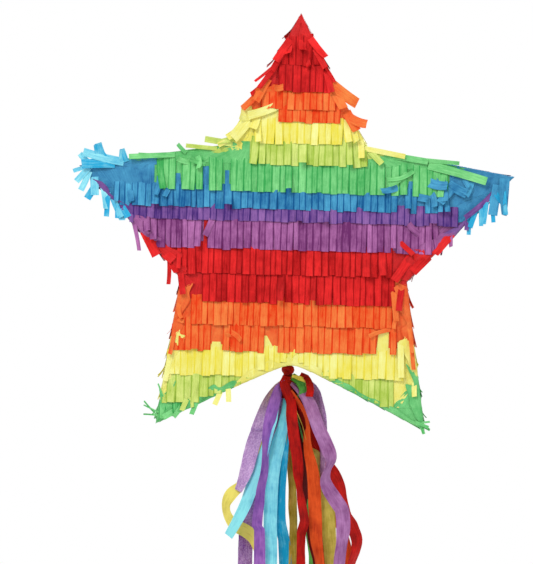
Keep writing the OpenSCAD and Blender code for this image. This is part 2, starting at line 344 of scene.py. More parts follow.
def noise(tree, place, period, detail=2.0, roughness=0.5, distortion=0.0, kind="FBM"):
    """A noise pattern with blotches about a period across, in the units of the place."""
    return add_node(tree, "ShaderNodeTexNoise", {"noise_type": kind},
                    {"Vector": place, "Scale": 1 / period, "Detail": detail, "Roughness": roughness,
                     "Distortion": distortion}).outputs["Fac"]


def scaled(tree, value, factor, added):
    """A value times a factor, plus another value."""
    return add_node(tree, "ShaderNodeMath", {"operation": "MULTIPLY_ADD"},
                    {0: value, 1: factor, 2: added}).outputs[0]


def two_tints(tree, share, deep, pale):
    """A colour between a deep and a pale linear one."""
    mix = add_node(tree, "ShaderNodeMix", {"data_type": "RGBA"}, {"Factor": share})
    mix.inputs[6].default_value = (*deep, 1)
    mix.inputs[7].default_value = (*pale, 1)
    return mix.outputs[2]


def paper_surface(tree, out, tint, relief, strength, distance, finish):
    """The light that paper throws back: a rough surface with a tint, a fine relief and a finish."""
    bump = add_node(tree, "ShaderNodeBump", None,
                    {"Height": relief, "Strength": strength, "Distance": distance})
    paper = add_node(tree, "ShaderNodeBsdfPrincipled", None,
                     {"Base Color": tint, "IOR": 1.45, "Normal": bump.outputs[0], **finish})
    tree.links.new(paper.outputs[0], out.inputs[0])


def tissue_paper(name, pale, deep, streaks=0.5, crumple=0.5, speckle=0.0, gloss=0.14):
    """Dyed tissue paper, crepe-grained and glued down in layers. It is matt with a faint sheen, its
    grain runs along each strip, and every strip catches the light a little differently."""
    material, tree, out = new_material(name)
    uv = add_node(tree, "ShaderNodeUVMap", {"uv_map": "paper"}).outputs["UV"]
    place = add_node(tree, "ShaderNodeTexCoord").outputs["Object"]
    tone = add_node(tree, "ShaderNodeAttribute", {"attribute_name": "tone"}).outputs["Fac"]
    # The crepe lines are 1.5 mm apart across the strip and about 14 mm long. Real ones are finer,
    # and are drawn this coarse so that they show.
    lines_at = add_node(tree, "ShaderNodeMapping", None,
                        {"Vector": uv, "Scale": (1 / (1.5 * MM), 1 / (14 * MM), 1.0)})
    lines = add_node(tree, "ShaderNodeTexNoise", {"noise_dimensions": "2D"},
                     {"Vector": lines_at.outputs[0], "Scale": 1.0, "Detail": 3.0, "Roughness": 0.6})
    lines = lines.outputs["Fac"]
    # Soft blotches about 16 mm across, where the paste and the layers below show through.
    blotch = noise(tree, place, 16 * MM, 4.0, 0.62)
    # Sharp crumple ridges about 9 mm apart, two to a period of the noise.
    crease = noise(tree, place, 18 * MM, 3.0, distortion=0.6, kind="RIDGED_MULTIFRACTAL")
    # Painted shade: the tissue is drawn deeper along each strip's cut edges, standing in for the thin
    # shadows in the gaps between strips. The map range called overlap makes that painted shade.
    cut = add_node(tree, "ShaderNodeAttribute", {"attribute_name": "cut_edge"}).outputs["Fac"]
    overlap = add_node(tree, "ShaderNodeMapRange", {"interpolation_type": "SMOOTHSTEP"},
                       {"Value": cut, "From Min": 0.66, "From Max": 1.0, "To Min": 0.0, "To Max": -1.5})
    tone_and_gap_shade = add_node(tree, "ShaderNodeMath", {"operation": "ADD"}, {0: tone, 1: overlap.outputs[0]})
    shade = scaled(tree, blotch, 2.2, scaled(tree, lines, 3.0 * streaks, tone_and_gap_shade.outputs[0]))
    # The three parts have means of 0.5, half of 3 times the streaks, and 1.1.
    low, high = 0.8 + 1.5 * streaks, 2.4 + 1.5 * streaks
    if speckle:
        # Speckled crepe: light and dark flecks about 1.4 mm across.
        flecks = add_node(tree, "ShaderNodeMapRange", None,
                          {"Value": noise(tree, place, 1.4 * MM), "From Min": 0.38, "From Max": 0.62})
        shade = scaled(tree, flecks.outputs[0], speckle, shade)
        high += speckle
    share = add_node(tree, "ShaderNodeMapRange", None,
                     {"Value": shade, "From Min": low, "From Max": high}).outputs[0]
    tint = two_tints(tree, share, linear(deep), linear(pale))
    paper_surface(tree, out, tint, scaled(tree, crease, crumple, lines), 0.6, 0.6 * MM,
                  {"Roughness": 0.52, "Specular IOR Level": gloss, "Sheen Weight": 0.04,
                   "Sheen Roughness": 0.5})
    return material


def kraft_board(name, colour, flutes=True):
    """Kraft paper liner on corrugated board: matt brown with darker fibres, and the flutes showing
    through as faint ridges 7 mm apart. Gummed tape is the same paper with no flutes."""
    material, tree, out = new_material(name)
    place = add_node(tree, "ShaderNodeTexCoord").outputs["Object"]
    # Fibres about 0.6 mm across and 3 mm long, upright.
    fibre_at = add_node(tree, "ShaderNodeMapping", None,
                        {"Vector": place, "Scale": (1 / (0.6 * MM), 1 / (0.6 * MM), 1 / (3 * MM))})
    fibre = noise(tree, fibre_at.outputs[0], 1.0, 4.0, 0.7)
    # A wave texture at scale 1 repeats every 0.314 m.
    flute = add_node(tree, "ShaderNodeTexWave", {"bands_direction": "X", "wave_profile": "SIN"},
                     {"Vector": place, "Scale": 0.314 / (7 * MM), "Distortion": 0.3})
    relief = scaled(tree, flute.outputs["Fac"], 0.8 if flutes else 0.0, fibre)
    tint = two_tints(tree, fibre, [c * 0.72 for c in colour], [min(1, c * 1.2) for c in colour])
    paper_surface(tree, out, tint, relief, 0.4, 0.3 * MM,
                  {"Roughness": 0.85, "Specular IOR Level": 0.25})
    return material


def studio_floor(name, colour):
    """Painted studio floor: pale, matt and faintly uneven, with clouds about 170 mm across."""
    material, tree, out = new_material(name)
    place = add_node(tree, "ShaderNodeTexCoord").outputs["Object"]
    tint = two_tints(tree, noise(tree, place, 1 / 6), [c * 0.97 for c in colour], colour)
    paint = add_node(tree, "ShaderNodeBsdfPrincipled", None, {"Base Color": tint, "Roughness": 0.8})
    tree.links.new(paint.outputs[0], out.inputs[0])
    return material


def shared_material(key):
    """The paper for a kind and a colour, such as tissue_red, made once: tissue for fringe, wrap for
    pasted wrapping, streamer for plain ribbons and crinkled_streamer for speckled crepe ones."""
    kind, colour = key.rsplit("_", 1)
    finish, tints, settings = PAPERS[kind]
    name = f"{finish}_{colour}"
    if name in bpy.data.materials:
        return bpy.data.materials[name]
    return tissue_paper(name, *tints[colour], **settings)


# ---------------------------------------------------------------- surfaces

def unit(v):
    """Vectors of length 1 along the last axis."""
    return v / np.maximum(np.linalg.norm(v, axis=-1, keepdims=True), 1e-12)


def kept_in(grids):
    """Ends that curl further off the front or back than tissue stands are pressed back: beyond the
    limit, the distance from it is cut to a third."""
    y = grids[..., 1]
    limit = HALF_DEPTH + CURL_LIMIT
    beyond = np.maximum(np.abs(y) - limit, 0)
    return np.stack([grids[..., 0], y - np.sign(y) * beyond * 0.67, grids[..., 2]], -1)


def closed_sheets(grids, thickness):
    """Closed thin solids from grids of points (sheets, rows, columns, 3): each grid is moved half
    the thickness along its normals, once outwards and once inwards, and the two are joined round
    the rim. Gives the points and the quads."""
    s, r, c, _ = grids.shape
    along_columns = np.gradient(grids, axis=2)
    along_rows = np.gradient(grids, axis=1)
    normal = unit(np.cross(along_columns, along_rows))
    points = np.stack([grids + normal * thickness / 2, grids - normal * thickness / 2], axis=1)
    index = np.arange(r * c).reshape(r, c)
    front = np.stack([index[:-1, :-1], index[:-1, 1:], index[1:, 1:], index[1:, :-1]], -1).reshape(-1, 4)
    back = front[:, ::-1] + r * c
    loop = np.concatenate([index[0, :-1], index[:-1, -1], index[-1, :0:-1], index[:0:-1, 0]])
    after = np.roll(loop, -1)
    rim = np.stack([after, loop, loop + r * c, after + r * c], -1)
    one = np.concatenate([front, back, rim])
    quads = (one[None] + (np.arange(s) * 2 * r * c)[:, None, None]).reshape(-1, 4)
    return points.reshape(-1, 3), quads


def sheet_attributes(s, r, c, width, length, tone, strip):
    """Paper coordinates (across, along) in metres, tone and, on a strip, how near each point is to a cut
    edge, which masks the painted shade along the cuts, for both faces of each closed sheet. Every sheet
    gets its own stretch of the pattern."""
    across = np.linspace(0, 1, c)[None, None, :] * np.asarray(width, float).reshape(-1, 1, 1)
    along = np.linspace(0, 1, r)[None, :, None] * np.asarray(length, float).reshape(-1, 1, 1)
    offset = (np.arange(s) * 31 * MM).reshape(-1, 1, 1)
    uv = np.stack(np.broadcast_arrays(across + offset, along + 0 * offset), -1)
    uv = np.broadcast_to(uv[:, None], (s, 2, r, c, 2)).reshape(-1, 2)
    tones = np.broadcast_to(np.asarray(tone, float).reshape(-1, 1, 1, 1), (s, 2, r, c)).reshape(-1)
    cut = np.broadcast_to(np.abs(np.linspace(-1, 1, c)) * strip, (s, 2, r, c)).reshape(-1)
    return uv, tones, cut


def into_scene(name, mesh, material, body, node_names):
    """Puts a finished mesh in the scene as one piece, and ties it to the frame: the body it rides and
    the nodes that it takes the place of."""
    mesh.materials.append(material)
    piece = bpy.data.objects.new(name, mesh)
    bpy.context.scene.collection.objects.link(piece)
    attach(piece, body)
    if node_names:
        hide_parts(*node_names)
    return piece


class Piece:
    """Collects closed sheets and makes one mesh object of them."""

    def __init__(self, name, material, body, slot, replaces=()):
        self.name, self.material, self.body = name, material, body
        self.slot, self.node_names = slot, replaces
        self.points, self.quads, self.uvs, self.tones, self.cuts, self.count = [], [], [], [], [], 0

    def add(self, grids, thickness, width=0.05, length=0.05, tone=0.5, strip=False):
        """Adds closed thin sheets from grids (sheets, rows, columns, 3)."""
        grids = np.asarray(grids, float)
        if grids.ndim == 3:
            grids = grids[None]
        if grids.shape[0] == 0:
            return
        points, quads = closed_sheets(grids, thickness)
        uv, tones, cut = sheet_attributes(*grids.shape[:3], width, length, tone, strip)
        self.points.append(points)
        self.quads.append(quads + self.count)
        self.uvs.append(uv)
        self.tones.append(tones)
        self.cuts.append(cut)
        self.count += len(points)

    def build(self):
        """Makes the mesh with its paper coordinates and tones, and puts it in the scene."""
        if not self.points:
            raise RuntimeError(f"{self.name} has no surfaces")
        points, quads = np.concatenate(self.points), np.concatenate(self.quads)
        uvs, tones = np.concatenate(self.uvs), np.concatenate(self.tones)
        mesh = bpy.data.meshes.new(self.name)
        mesh.vertices.add(len(points))
        mesh.vertices.foreach_set("co", points.ravel())
        mesh.loops.add(quads.size)
        mesh.loops.foreach_set("vertex_index", quads.ravel())
        mesh.polygons.add(len(quads))
        mesh.polygons.foreach_set("loop_start", np.arange(len(quads)) * 4)
        mesh.polygons.foreach_set("material_index", np.zeros(len(quads), int))
        mesh.update(calc_edges=True)
        mesh.uv_layers.new(name="paper").data.foreach_set("uv", uvs[quads.ravel()].ravel())
        mesh.attributes.new("tone", "FLOAT", "POINT").data.foreach_set("value", tones)
        # How near each point is to a cut edge: the mask of the painted shade in the gaps between strips.
        cuts = np.concatenate(self.cuts)
        mesh.attributes.new("cut_edge", "FLOAT", "POINT").data.foreach_set("value", cuts)
        mesh.shade_smooth()
        mesh.set_sharp_from_angle(angle=math.radians(55))
        mesh.validate()
        return into_scene(self.name, mesh, self.material, self.body, self.node_names)


def wrinkle(points, size, seed, height):
    """Smooth wrinkles: the mean of eight plane waves of about that size in fixed chance directions,
    sharpened by taking how far each is from its own middle."""
    chance = np.random.default_rng(seed)
    direction = unit(chance.normal(size=(8, 3)))
    pitch = size * chance.uniform(0.6, 1.7, 8)
    phase = chance.uniform(0, 2 * math.pi, 8)
    wave = np.sin(points @ (direction / pitch[:, None]).T * 2 * math.pi + phase)
    return height * (1 - np.abs(wave).mean(axis=-1) * 1.6)


def corner(i, grow=0.0):
    """Corner i of the star, clockwise from the top tip, with every side moved out by grow. Tips
    move by grow over the sine of their half angle, and so do notches."""
    i = i % 10
    grow = np.asarray(grow, float)
    is_tip = i % 2 == 0
    reach = STAR_R + grow / math.sin(TIP_HALF) if is_tip else NOTCH_R + grow / math.sin(NOTCH_HALF)
    angle = math.radians(90 - 36 * i)
    return np.stack([reach * math.cos(angle), CENTRE_Z + reach * math.sin(angle)], -1)


def edge_point(i, share, grow):
    """The point (x, z) at a share of the way from corner i to corner i + 1, moved out by grow."""
    share = np.asarray(share, float)[..., None]
    return corner(i, grow) * (1 - share) + corner(i + 1, grow) * share


def edge_ends(i):
    """The upper corner, the lower corner and whether the edge runs downwards from corner i."""
    a, b = corner(i), corner(i + 1)
    return (a, b, True) if a[1] > b[1] else (b, a, False)


def edge_frame(i):
    """The upper end of edge i, the direction down along it, the outward normal and the length."""
    a, b, _ = edge_ends(i)
    down = np.array([b[0] - a[0], 0, b[1] - a[1]])
    length = np.linalg.norm(down)
    down = down / length
    normal = np.array([-down[2], 0, down[0]])
    middle = (a + b) / 2
    if normal[0] * middle[0] + normal[2] * (middle[1] - CENTRE_Z) < 0:
        normal = -normal
    return np.array([a[0], 0, a[1]]), down, normal, length


def half_width(z):
    """Half the star's width at height z: straight lines between its corners."""
    corners = np.array([corner(i) for i in (4, 3, 2, 1, 0)])
    return np.interp(z, corners[:, 1], corners[:, 0])


def notch_half_width(z):
    """Half the width of the bottom notch at height z, which is 0 above its apex."""
    return np.maximum(0, (APEX_Z - z) / math.tan(NOTCH_SLOPE))


def arch_sag(x, z):
    """The glued tissue bridges the bottom notch in an arch: a hyperbola 5 mm below the apex that
    runs into the straight slopes."""
    slope, drop = math.tan(NOTCH_SLOPE), 5 * MM
    sag = np.sqrt((slope * x) ** 2 + drop ** 2) - slope * np.abs(x)
    near = np.clip(1 - (z - (APEX_Z - slope * np.abs(x))) / (9 * MM), 0, 1)
    return sag * near


def strips(root, down, across, out, width, length, tilt, curl, sway, twist,
           rings=8, cup=0.2 * MM, emerge=0.0):
    """Cut strips. A strip's centre line starts at its root and runs down; its heading turns away
    from the wall by tilt at the root and by curl more at the tip, and sideways by sway. Its width
    turns by twist along the way, and its middle stands proud of its sides by cup. It comes out from
    emerge below its root's level over the first third of its length."""
    n = len(root)
    cup = np.broadcast_to(np.asarray(cup, float), (n,))[:, None, None, None]
    t = np.linspace(0, 1, rings)[None, :]
    width, length, tilt, curl, sway, twist = (
        np.broadcast_to(np.asarray(v, float), (n,))[:, None]
        for v in (width, length, tilt, curl, sway, twist))
    lean = tilt + curl * t ** 2
    side = sway * t
    down, across, out = (
        np.broadcast_to(np.asarray(v, float), (n, 3))[:, None, :] for v in (down, across, out))
    forward = down * np.cos(lean)[..., None] + out * np.sin(lean)[..., None]
    heading = forward * np.cos(side)[..., None] + across * np.sin(side)[..., None]
    step = heading * (length / (rings - 1))[..., None]
    centre = root[:, None, :] + np.cumsum(step, axis=1) - step[:, :1]
    rise = np.clip(t / 0.3, 0, 1)
    centre = centre - out * (emerge * (1 - rise * rise * (3 - 2 * rise)))[..., None]
    outward = out * np.cos(lean)[..., None] - down * np.sin(lean)[..., None]
    turn = (twist * t)[..., None]
    square = np.cross(heading, outward)
    flat = unit(square) * np.sign(np.sum(square * across, -1, keepdims=True))
    wide = flat * np.cos(turn) + outward * np.sin(turn)
    c = np.array([-1, 0, 1])[None, None, :, None]
    face = unit(np.cross(wide, heading))
    face = face * np.sign(np.sum(face * outward, -1, keepdims=True) + 1e-9)
    sideways = wide[:, :, None, :] * c * width[..., None, None] / 2
    return centre[:, :, None, :] + sideways + face[:, :, None, :] * (1 - c ** 2) * cup


# ---------------------------------------------------------------- tissue rows

def face_patch(piece, side, left, right, low, high, lift=0.0):
    """Smooth tissue on the front (side -1) or back (side 1), between two heights and two limits to
    the sides. Each limit is a pair, below and above. The patch is cut off at the star's outline and
    at the bottom notch, wrinkled, and lies higher by lift."""
    bends = [c[1] for c in map(corner, range(6)) if low < c[1] < high]
    heights = np.array(sorted({*np.arange(low, high, 2.6 * MM).tolist(), high, *bends}))
    share = np.clip((heights - low) / (high - low), 0, 1)
    left_at = left[0] + (left[1] - left[0]) * share
    right_at = right[0] + (right[1] - right[0]) * share
    outer, inner = half_width(heights) - 0.3 * MM, notch_half_width(heights)
    halves = [(-outer, outer)]
    if low < APEX_Z:
        halves = [(-outer, -inner), (inner, outer)]
    for a, b in halves:
        start, stop = np.maximum(left_at, a), np.minimum(right_at, b)
        wide = stop - start > 0.8 * MM
        if wide.sum() < 2:
            continue
        columns = max(4, int((stop - start).max() / (3 * MM)))
        x = start[wide, None] + (stop - start)[wide, None] * np.linspace(0, 1, columns)[None, :]
        z = np.broadcast_to(heights[wide, None], x.shape)
        flat = np.stack([x, 0 * x, z], -1)
        proud = (0.55 * MM + lift + wrinkle(flat, 13 * MM, 3, 0.5 * MM)
                 + wrinkle(flat, 5 * MM, 8, 0.28 * MM))
        piece.add(np.stack([x, side * (HALF_DEPTH + proud), z], -1), 0.2 * MM,
                  float((stop - start).max()), high - low, 0.42)


def row_sleeve(piece, k):
    """The smooth tissue under row k's fringe. On the front it reaches only as far sideways as the
    row's own colour does; on the back it leaves the fill flap free."""
    low, high = ROW_LOW[k], min(ROW_HIGH[k] + 1.5 * MM, PANEL_HIGH[2] - MM)
    left, right = SLEEVE_SPAN.get(k, (-FAR, FAR))
    face_patch(piece, -1, (left * MM, left * MM), (right * MM, right * MM), low, high)
    for row, a, b, z0, z1 in SLEEVE_EXTRA:
        if row == k:
            face_patch(piece, -1, (a[0] * MM, a[1] * MM), (b[0] * MM, b[1] * MM),
                       CENTRE_Z + z0 * MM, CENTRE_Z + z1 * MM, 0.3 * MM)
    wide = STAR_R
    gap = FLAP_HIGH[0] + 0.6 * MM
    if low > FLAP_HIGH[2] - 2 * MM or high < FLAP_LOW[2] + 2 * MM:
        face_patch(piece, 1, (-wide, -wide), (wide, wide), low, high)
        return
    face_patch(piece, 1, (-wide, -wide), (-gap, -gap), low, high)
    face_patch(piece, 1, (gap, gap), (wide, wide), low, high)
    if low < FLAP_LOW[2] - MM:
        face_patch(piece, 1, (-gap, -gap), (gap, gap), low, FLAP_LOW[2] - 0.6 * MM)


def edge_span(k, i):
    """The stretch of edge i that row k's tissue covers: distances from the edge's upper end."""
    top, down, _, length = edge_frame(i)
    above = top[2]
    for row, height in EDGE_ROWS[i]:
        low = CENTRE_Z + height * MM
        if row == k:
            begin = max(0.0, (top[2] - above) / -down[2])
            return begin, min(length, (top[2] - low) / -down[2])
        above = low
    return 0.0, 0.0


def ring_patch(centre, u, v, reach, hole, rows=5, sides=32):
    """A square patch of tissue with a round hole: rings that pass from the hole's circle at the
    first row to the square's outline at the last."""
    angle = (np.arange(sides + 1) + 0.5) * 2 * math.pi / sides
    c, s = np.cos(angle), np.sin(angle)
    square = reach / np.maximum(np.abs(c), np.abs(s))
    share = np.linspace(0, 1, rows)[:, None]
    radius = hole + (square - hole) * share
    return centre + (radius * c)[..., None] * u + (radius * s)[..., None] * v


def wrap_profile(s, length, fold_size, over, i, k):
    """Across an edge's wrapping, row by row: how far outside the board it lies and at what depth,
    and the depth of its flat folds. From its fold on the front it runs flat to the corner, round a
    quarter circle, straight across the wall to the middle and the same way on to the back. The
    fold's line waves along the edge, and the fold is narrower near the edge's ends."""
    rows = len(s)
    depth = HALF_DEPTH + 0.95 * MM + over
    arc = np.linspace(0, math.pi / 2, 6)
    wave = 1 + 0.35 * np.sin(s / (9 * MM) + 2 * i) + 0.25 * np.sin(s / (4 * MM) + k)
    near_end = 0.75 * np.minimum(s, length - s + 4 * MM) + 3 * MM
    fold = np.maximum(np.minimum(fold_size * wave, near_end), ROUND_R)
    inset = np.linspace(1, 0, 8)[None, :] * (fold - ROUND_R + WRAP_SKIN) + ROUND_R - WRAP_SKIN
    grow_arc = np.broadcast_to(WRAP_SKIN - ROUND_R + ROUND_R * np.sin(arc)[None, :], (rows, 6))
    y_arc = np.broadcast_to(-depth + ROUND_R - ROUND_R * np.cos(arc)[None, :], (rows, 6))
    wall_y = np.sort(np.append(np.linspace(-depth + ROUND_R, 0, 10)[1:-1], [-HOLE_PATCH, 0]))
    grow = np.concatenate([-inset, grow_arc[:, 1:], np.full((rows, len(wall_y)), WRAP_SKIN)], 1)
    y = np.concatenate([np.full((rows, 8), -depth), y_arc[:, 1:],
                        np.broadcast_to(wall_y, (rows, len(wall_y)))], 1)
    return np.concatenate([grow, grow[:, -2::-1]], 1), np.concatenate([y, -y[:, -2::-1]], 1), depth


def edge_wrap(piece, k, i, fringe, chance, over):
    """Smooth tissue folded round edge i within row k: from the front face round the corner, across
    the wall and round onto the back. Along the edge it is a share of the way between two corners,
    and across it the distance outside the board and the depth follow a rounded profile."""
    top, down, normal, length = edge_frame(i)
    begin, end = edge_span(k, i)
    if end - begin < 1.5 * MM:
        return
    begin = max(0.0, begin - 1.5 * MM)
    marks = np.linspace(begin, end, max(6, int((end - begin) / (2.0 * MM))))
    patch_ends = (STRING_HOLE - HOLE_PATCH, STRING_HOLE + HOLE_PATCH)
    has_hole = i in HOLE_EDGES and begin < patch_ends[0] and end > patch_ends[1]
    if has_hole:
        marks = np.sort(np.append(marks, patch_ends))
    s = marks[:, None]
    fold_size = fringe.wrap * FOLD.get((i, k), FOLD.get(i, 1.0))
    grow, y, depth = wrap_profile(s, length, fold_size, over, i, k)
    share = np.broadcast_to(s / length if edge_ends(i)[2] else 1 - s / length, grow.shape)
    xz = edge_point(i, share, grow)
    points = np.stack([xz[..., 0], y, xz[..., 1]], -1)
    bump = wrinkle(points, 12 * MM, 11 + i, 0.7 * MM) + wrinkle(points, 5 * MM, 31 + i, 0.4 * MM)
    on_face = (np.abs(y) > depth - 0.3 * MM)[..., None]
    still = np.abs(y[..., None]) < HOLE_PATCH + 2 * MM if has_hole else np.zeros_like(on_face)
    outwards = np.where(on_face, np.sign(y)[..., None] * np.array([0, 1, 0]), normal)
    points = points + outwards * np.where(still, 0, bump[..., None])
    if i in NOTCH_EDGES:
        points[..., 2] -= arch_sag(points[..., 0], points[..., 2])
    last_column, last_row = points.shape[1] - 1, len(marks) - 1
    parts = [(0, last_column, 0, last_row)]
    if i == DOOR_EDGE:
        parts = door_parts(points, s)
    if has_hole:
        row_a, row_b = (int(np.argmin(np.abs(marks - mark))) for mark in patch_ends)
        column_a = int(np.argmin(np.abs(y[0] + HOLE_PATCH)))
        column_b = last_column - column_a
        parts = [(0, last_column, 0, row_a), (0, last_column, row_b, last_row),
                 (0, column_a, row_a, row_b), (column_b, last_column, row_a, row_b)]
        centre = top + down * STRING_HOLE + normal * WRAP_SKIN
        across = np.array([0.0, -1.0, 0.0]) * np.sign(np.cross(down, normal)[1])
        piece.add(ring_patch(centre, down, across, HOLE_PATCH, STRING_HOLE_R + 0.2 * MM),
                  fringe.paper, 0.02, 0.02, 0.45)
    for c0, c1, r0, r1 in parts:
        if c1 - c0 >= 2 and r1 - r0 >= 2:
            piece.add(points[r0:r1 + 1, c0:c1 + 1], fringe.paper, 0.1, end - begin,
                      chance.uniform(0.3, 0.65))


def door_parts(points, s):
    """The stretches of the left notch wall's tissue that leave the trap door free: the margins in
    front of it and behind it, and the full width beyond its hinge."""
    y = points[0, :, 1]
    front = int(np.sum(y < -DOOR_HALF_W - 0.6 * MM)) - 1
    back = len(y) - front - 1
    beyond = int(np.sum(s[:, 0] < DOOR_END + 0.8 * MM))
    last = len(s) - 1
    return [(0, front, 0, last), (back, len(y) - 1, 0, last), (front, back, beyond, last)]


def in_gap(k, x):
    """Whether a front strip of row k at x falls in a torn stretch."""
    hit = np.zeros(len(x), bool)
    for row, a, b in TORN:
        if row == k:
            hit |= (x > a * MM) & (x < b * MM)
    return hit


def uneven(left, right, pitch, chance):
    """Cuts a stretch into uneven widths: the middles and the widths."""
    share = chance.uniform(0.74, 1.3, max(3, int((right - left) / pitch)))
    cuts = left + np.concatenate([[0], np.cumsum(share)]) / share.sum() * (right - left)
    return (cuts[1:] + cuts[:-1]) / 2, np.diff(cuts)


def clear_of_flap(x, root, end, low, high):
    """The strips on the back leave the fill flap's edges free: those above it end over it, those
    below start under it, and its own top row starts inside it. Gives the heights of the roots, the
    lengths and whether each strip lies on the flap."""
    length = root - end
    over_x = np.abs(x) < FLAP_HIGH[0]
    above = over_x & (np.abs(low - FLAP_HIGH[2]) < MM)
    on_flap = over_x & (high < FLAP_HIGH[2] + MM) & (low > FLAP_LOW[2] - MM)
    under = over_x & (root > FLAP_LOW[2] - 0.6 * MM) & (low < FLAP_LOW[2] - MM)
    length = np.where(under, FLAP_LOW[2] - 0.8 * MM - end, length)
    root = np.where(under, FLAP_LOW[2] - 0.8 * MM, root)
    length = np.where(above, root - FLAP_HIGH[2] - 3.2 * MM, length)
    top_row = on_flap & (root > FLAP_HIGH[2] - MM)
    length = np.where(top_row, FLAP_HIGH[2] - 2 * MM - end, length)
    root = np.where(top_row, FLAP_HIGH[2] - 2 * MM, root)
    return root, length, on_flap


def face_roots(k, side, fringe, chance):
    """Where row k's strips start on the front (side -1) or back (side 1): x, the height of the
    root, each strip's length and width, and whether it lies on the fill flap."""
    low, high = ROW_LOW[k], min(ROW_HIGH[k], PANEL_HIGH[2])
    if side < 0:
        left, right = ROWS[k][1] * MM, ROWS[k][2] * MM
    else:
        reach = float(half_width(np.array([min(high, PANEL_HIGH[2] - 8 * MM)]))[0]) - 2 * MM
        if high > CENTRE_Z + STAR_R * 0.3:
            reach = min(reach, float(half_width(np.array([low]))[0]) - 2 * MM)
        left, right = -reach, reach
    x, width = uneven(left, right, fringe.strip, chance)
    count = len(x)
    root = np.full(count, high + (fringe.overlap if k else 0))
    end = low + chance.normal(0, 0.5 * MM, count)
    if k == 0:
        root = np.full(count, high - 16 * MM)
    else:
        end = end - 0.8 * MM
    # Each strip's way down, in steps, and where along it the strip lies on the star.
    steps = 24
    heights = np.linspace(0, 1, steps)[:, None] * (end - root)[None, :] + root[None, :]
    inside = np.abs(x)[None, :] < half_width(heights) - 1.5 * MM
    inside &= np.abs(x)[None, :] > notch_half_width(heights) - 0.5 * MM
    # Where the outline narrows downwards, a strip ends where it meets the edge.
    started = np.maximum.accumulate(inside, axis=0)
    first = np.argmax(inside, axis=0)
    last = np.where(started & ~inside, np.arange(steps)[:, None], steps).min(axis=0) - 1
    picked = np.arange(count)
    keep = inside.any(axis=0)
    root = heights[first, picked]
    end = np.maximum(end, heights[np.clip(last, 0, steps - 1), picked])
    length = root - end
    keep &= length > 5 * MM
    if side < 0:
        keep &= ~in_gap(k, x)
    on_flap = np.zeros(count, bool)
    if side > 0:
        root, length, on_flap = clear_of_flap(x, root, end, low, high)
    return x[keep], root[keep], length[keep], width[keep], on_flap[keep]


def face_fringe(piece, flap_piece, k, side, fringe, chance):
    """Row k's fringe on the front or back: strips side by side that hang straight down and stand a
    little further off the star towards their ends. Near the row's own ends they are more unruly."""
    x, root_z, length, width, on_flap = face_roots(k, side, fringe, chance)
    n = len(x)
    if n == 0:
        return
    base = HALF_DEPTH + 1.25 * MM + chance.uniform(0, 0.45 * MM, n)
    root = np.stack([x, side * base, root_z], -1)
    to_end = np.minimum(x - x.min(), x.max() - x)
    unruly = np.exp(-to_end / (12 * MM)) * (3 < k < 11)
    tilt = np.arctan2(fringe.lift * chance.uniform(0.2, 1.3, n), length)
    curl = np.where(chance.random(n) < 0.05 + 0.15 * unruly, chance.uniform(0.35, 1.0, n),
                    chance.uniform(-0.04, 0.12, n))
    sway = chance.normal(0, 0.02, n) + chance.normal(0, 0.09, n) * unruly
    twist = chance.normal(0, 0.11, n)
    tone = np.clip(chance.normal(0.5, 0.24, n), 0, 1)
    grids = strips(root, (0, 0, -1), (-side, 0, 0), (0, side, 0), width * 1.05, length, tilt, curl,
                   sway, twist, cup=chance.normal(0, 0.22 * MM, n), emerge=0.9 * MM)
    for chosen, target in ((~on_flap, piece), (on_flap, flap_piece)):
        if chosen.any():
            target.add(kept_in(grids[chosen]), fringe.paper, width[chosen], length[chosen],
                       tone[chosen], True)


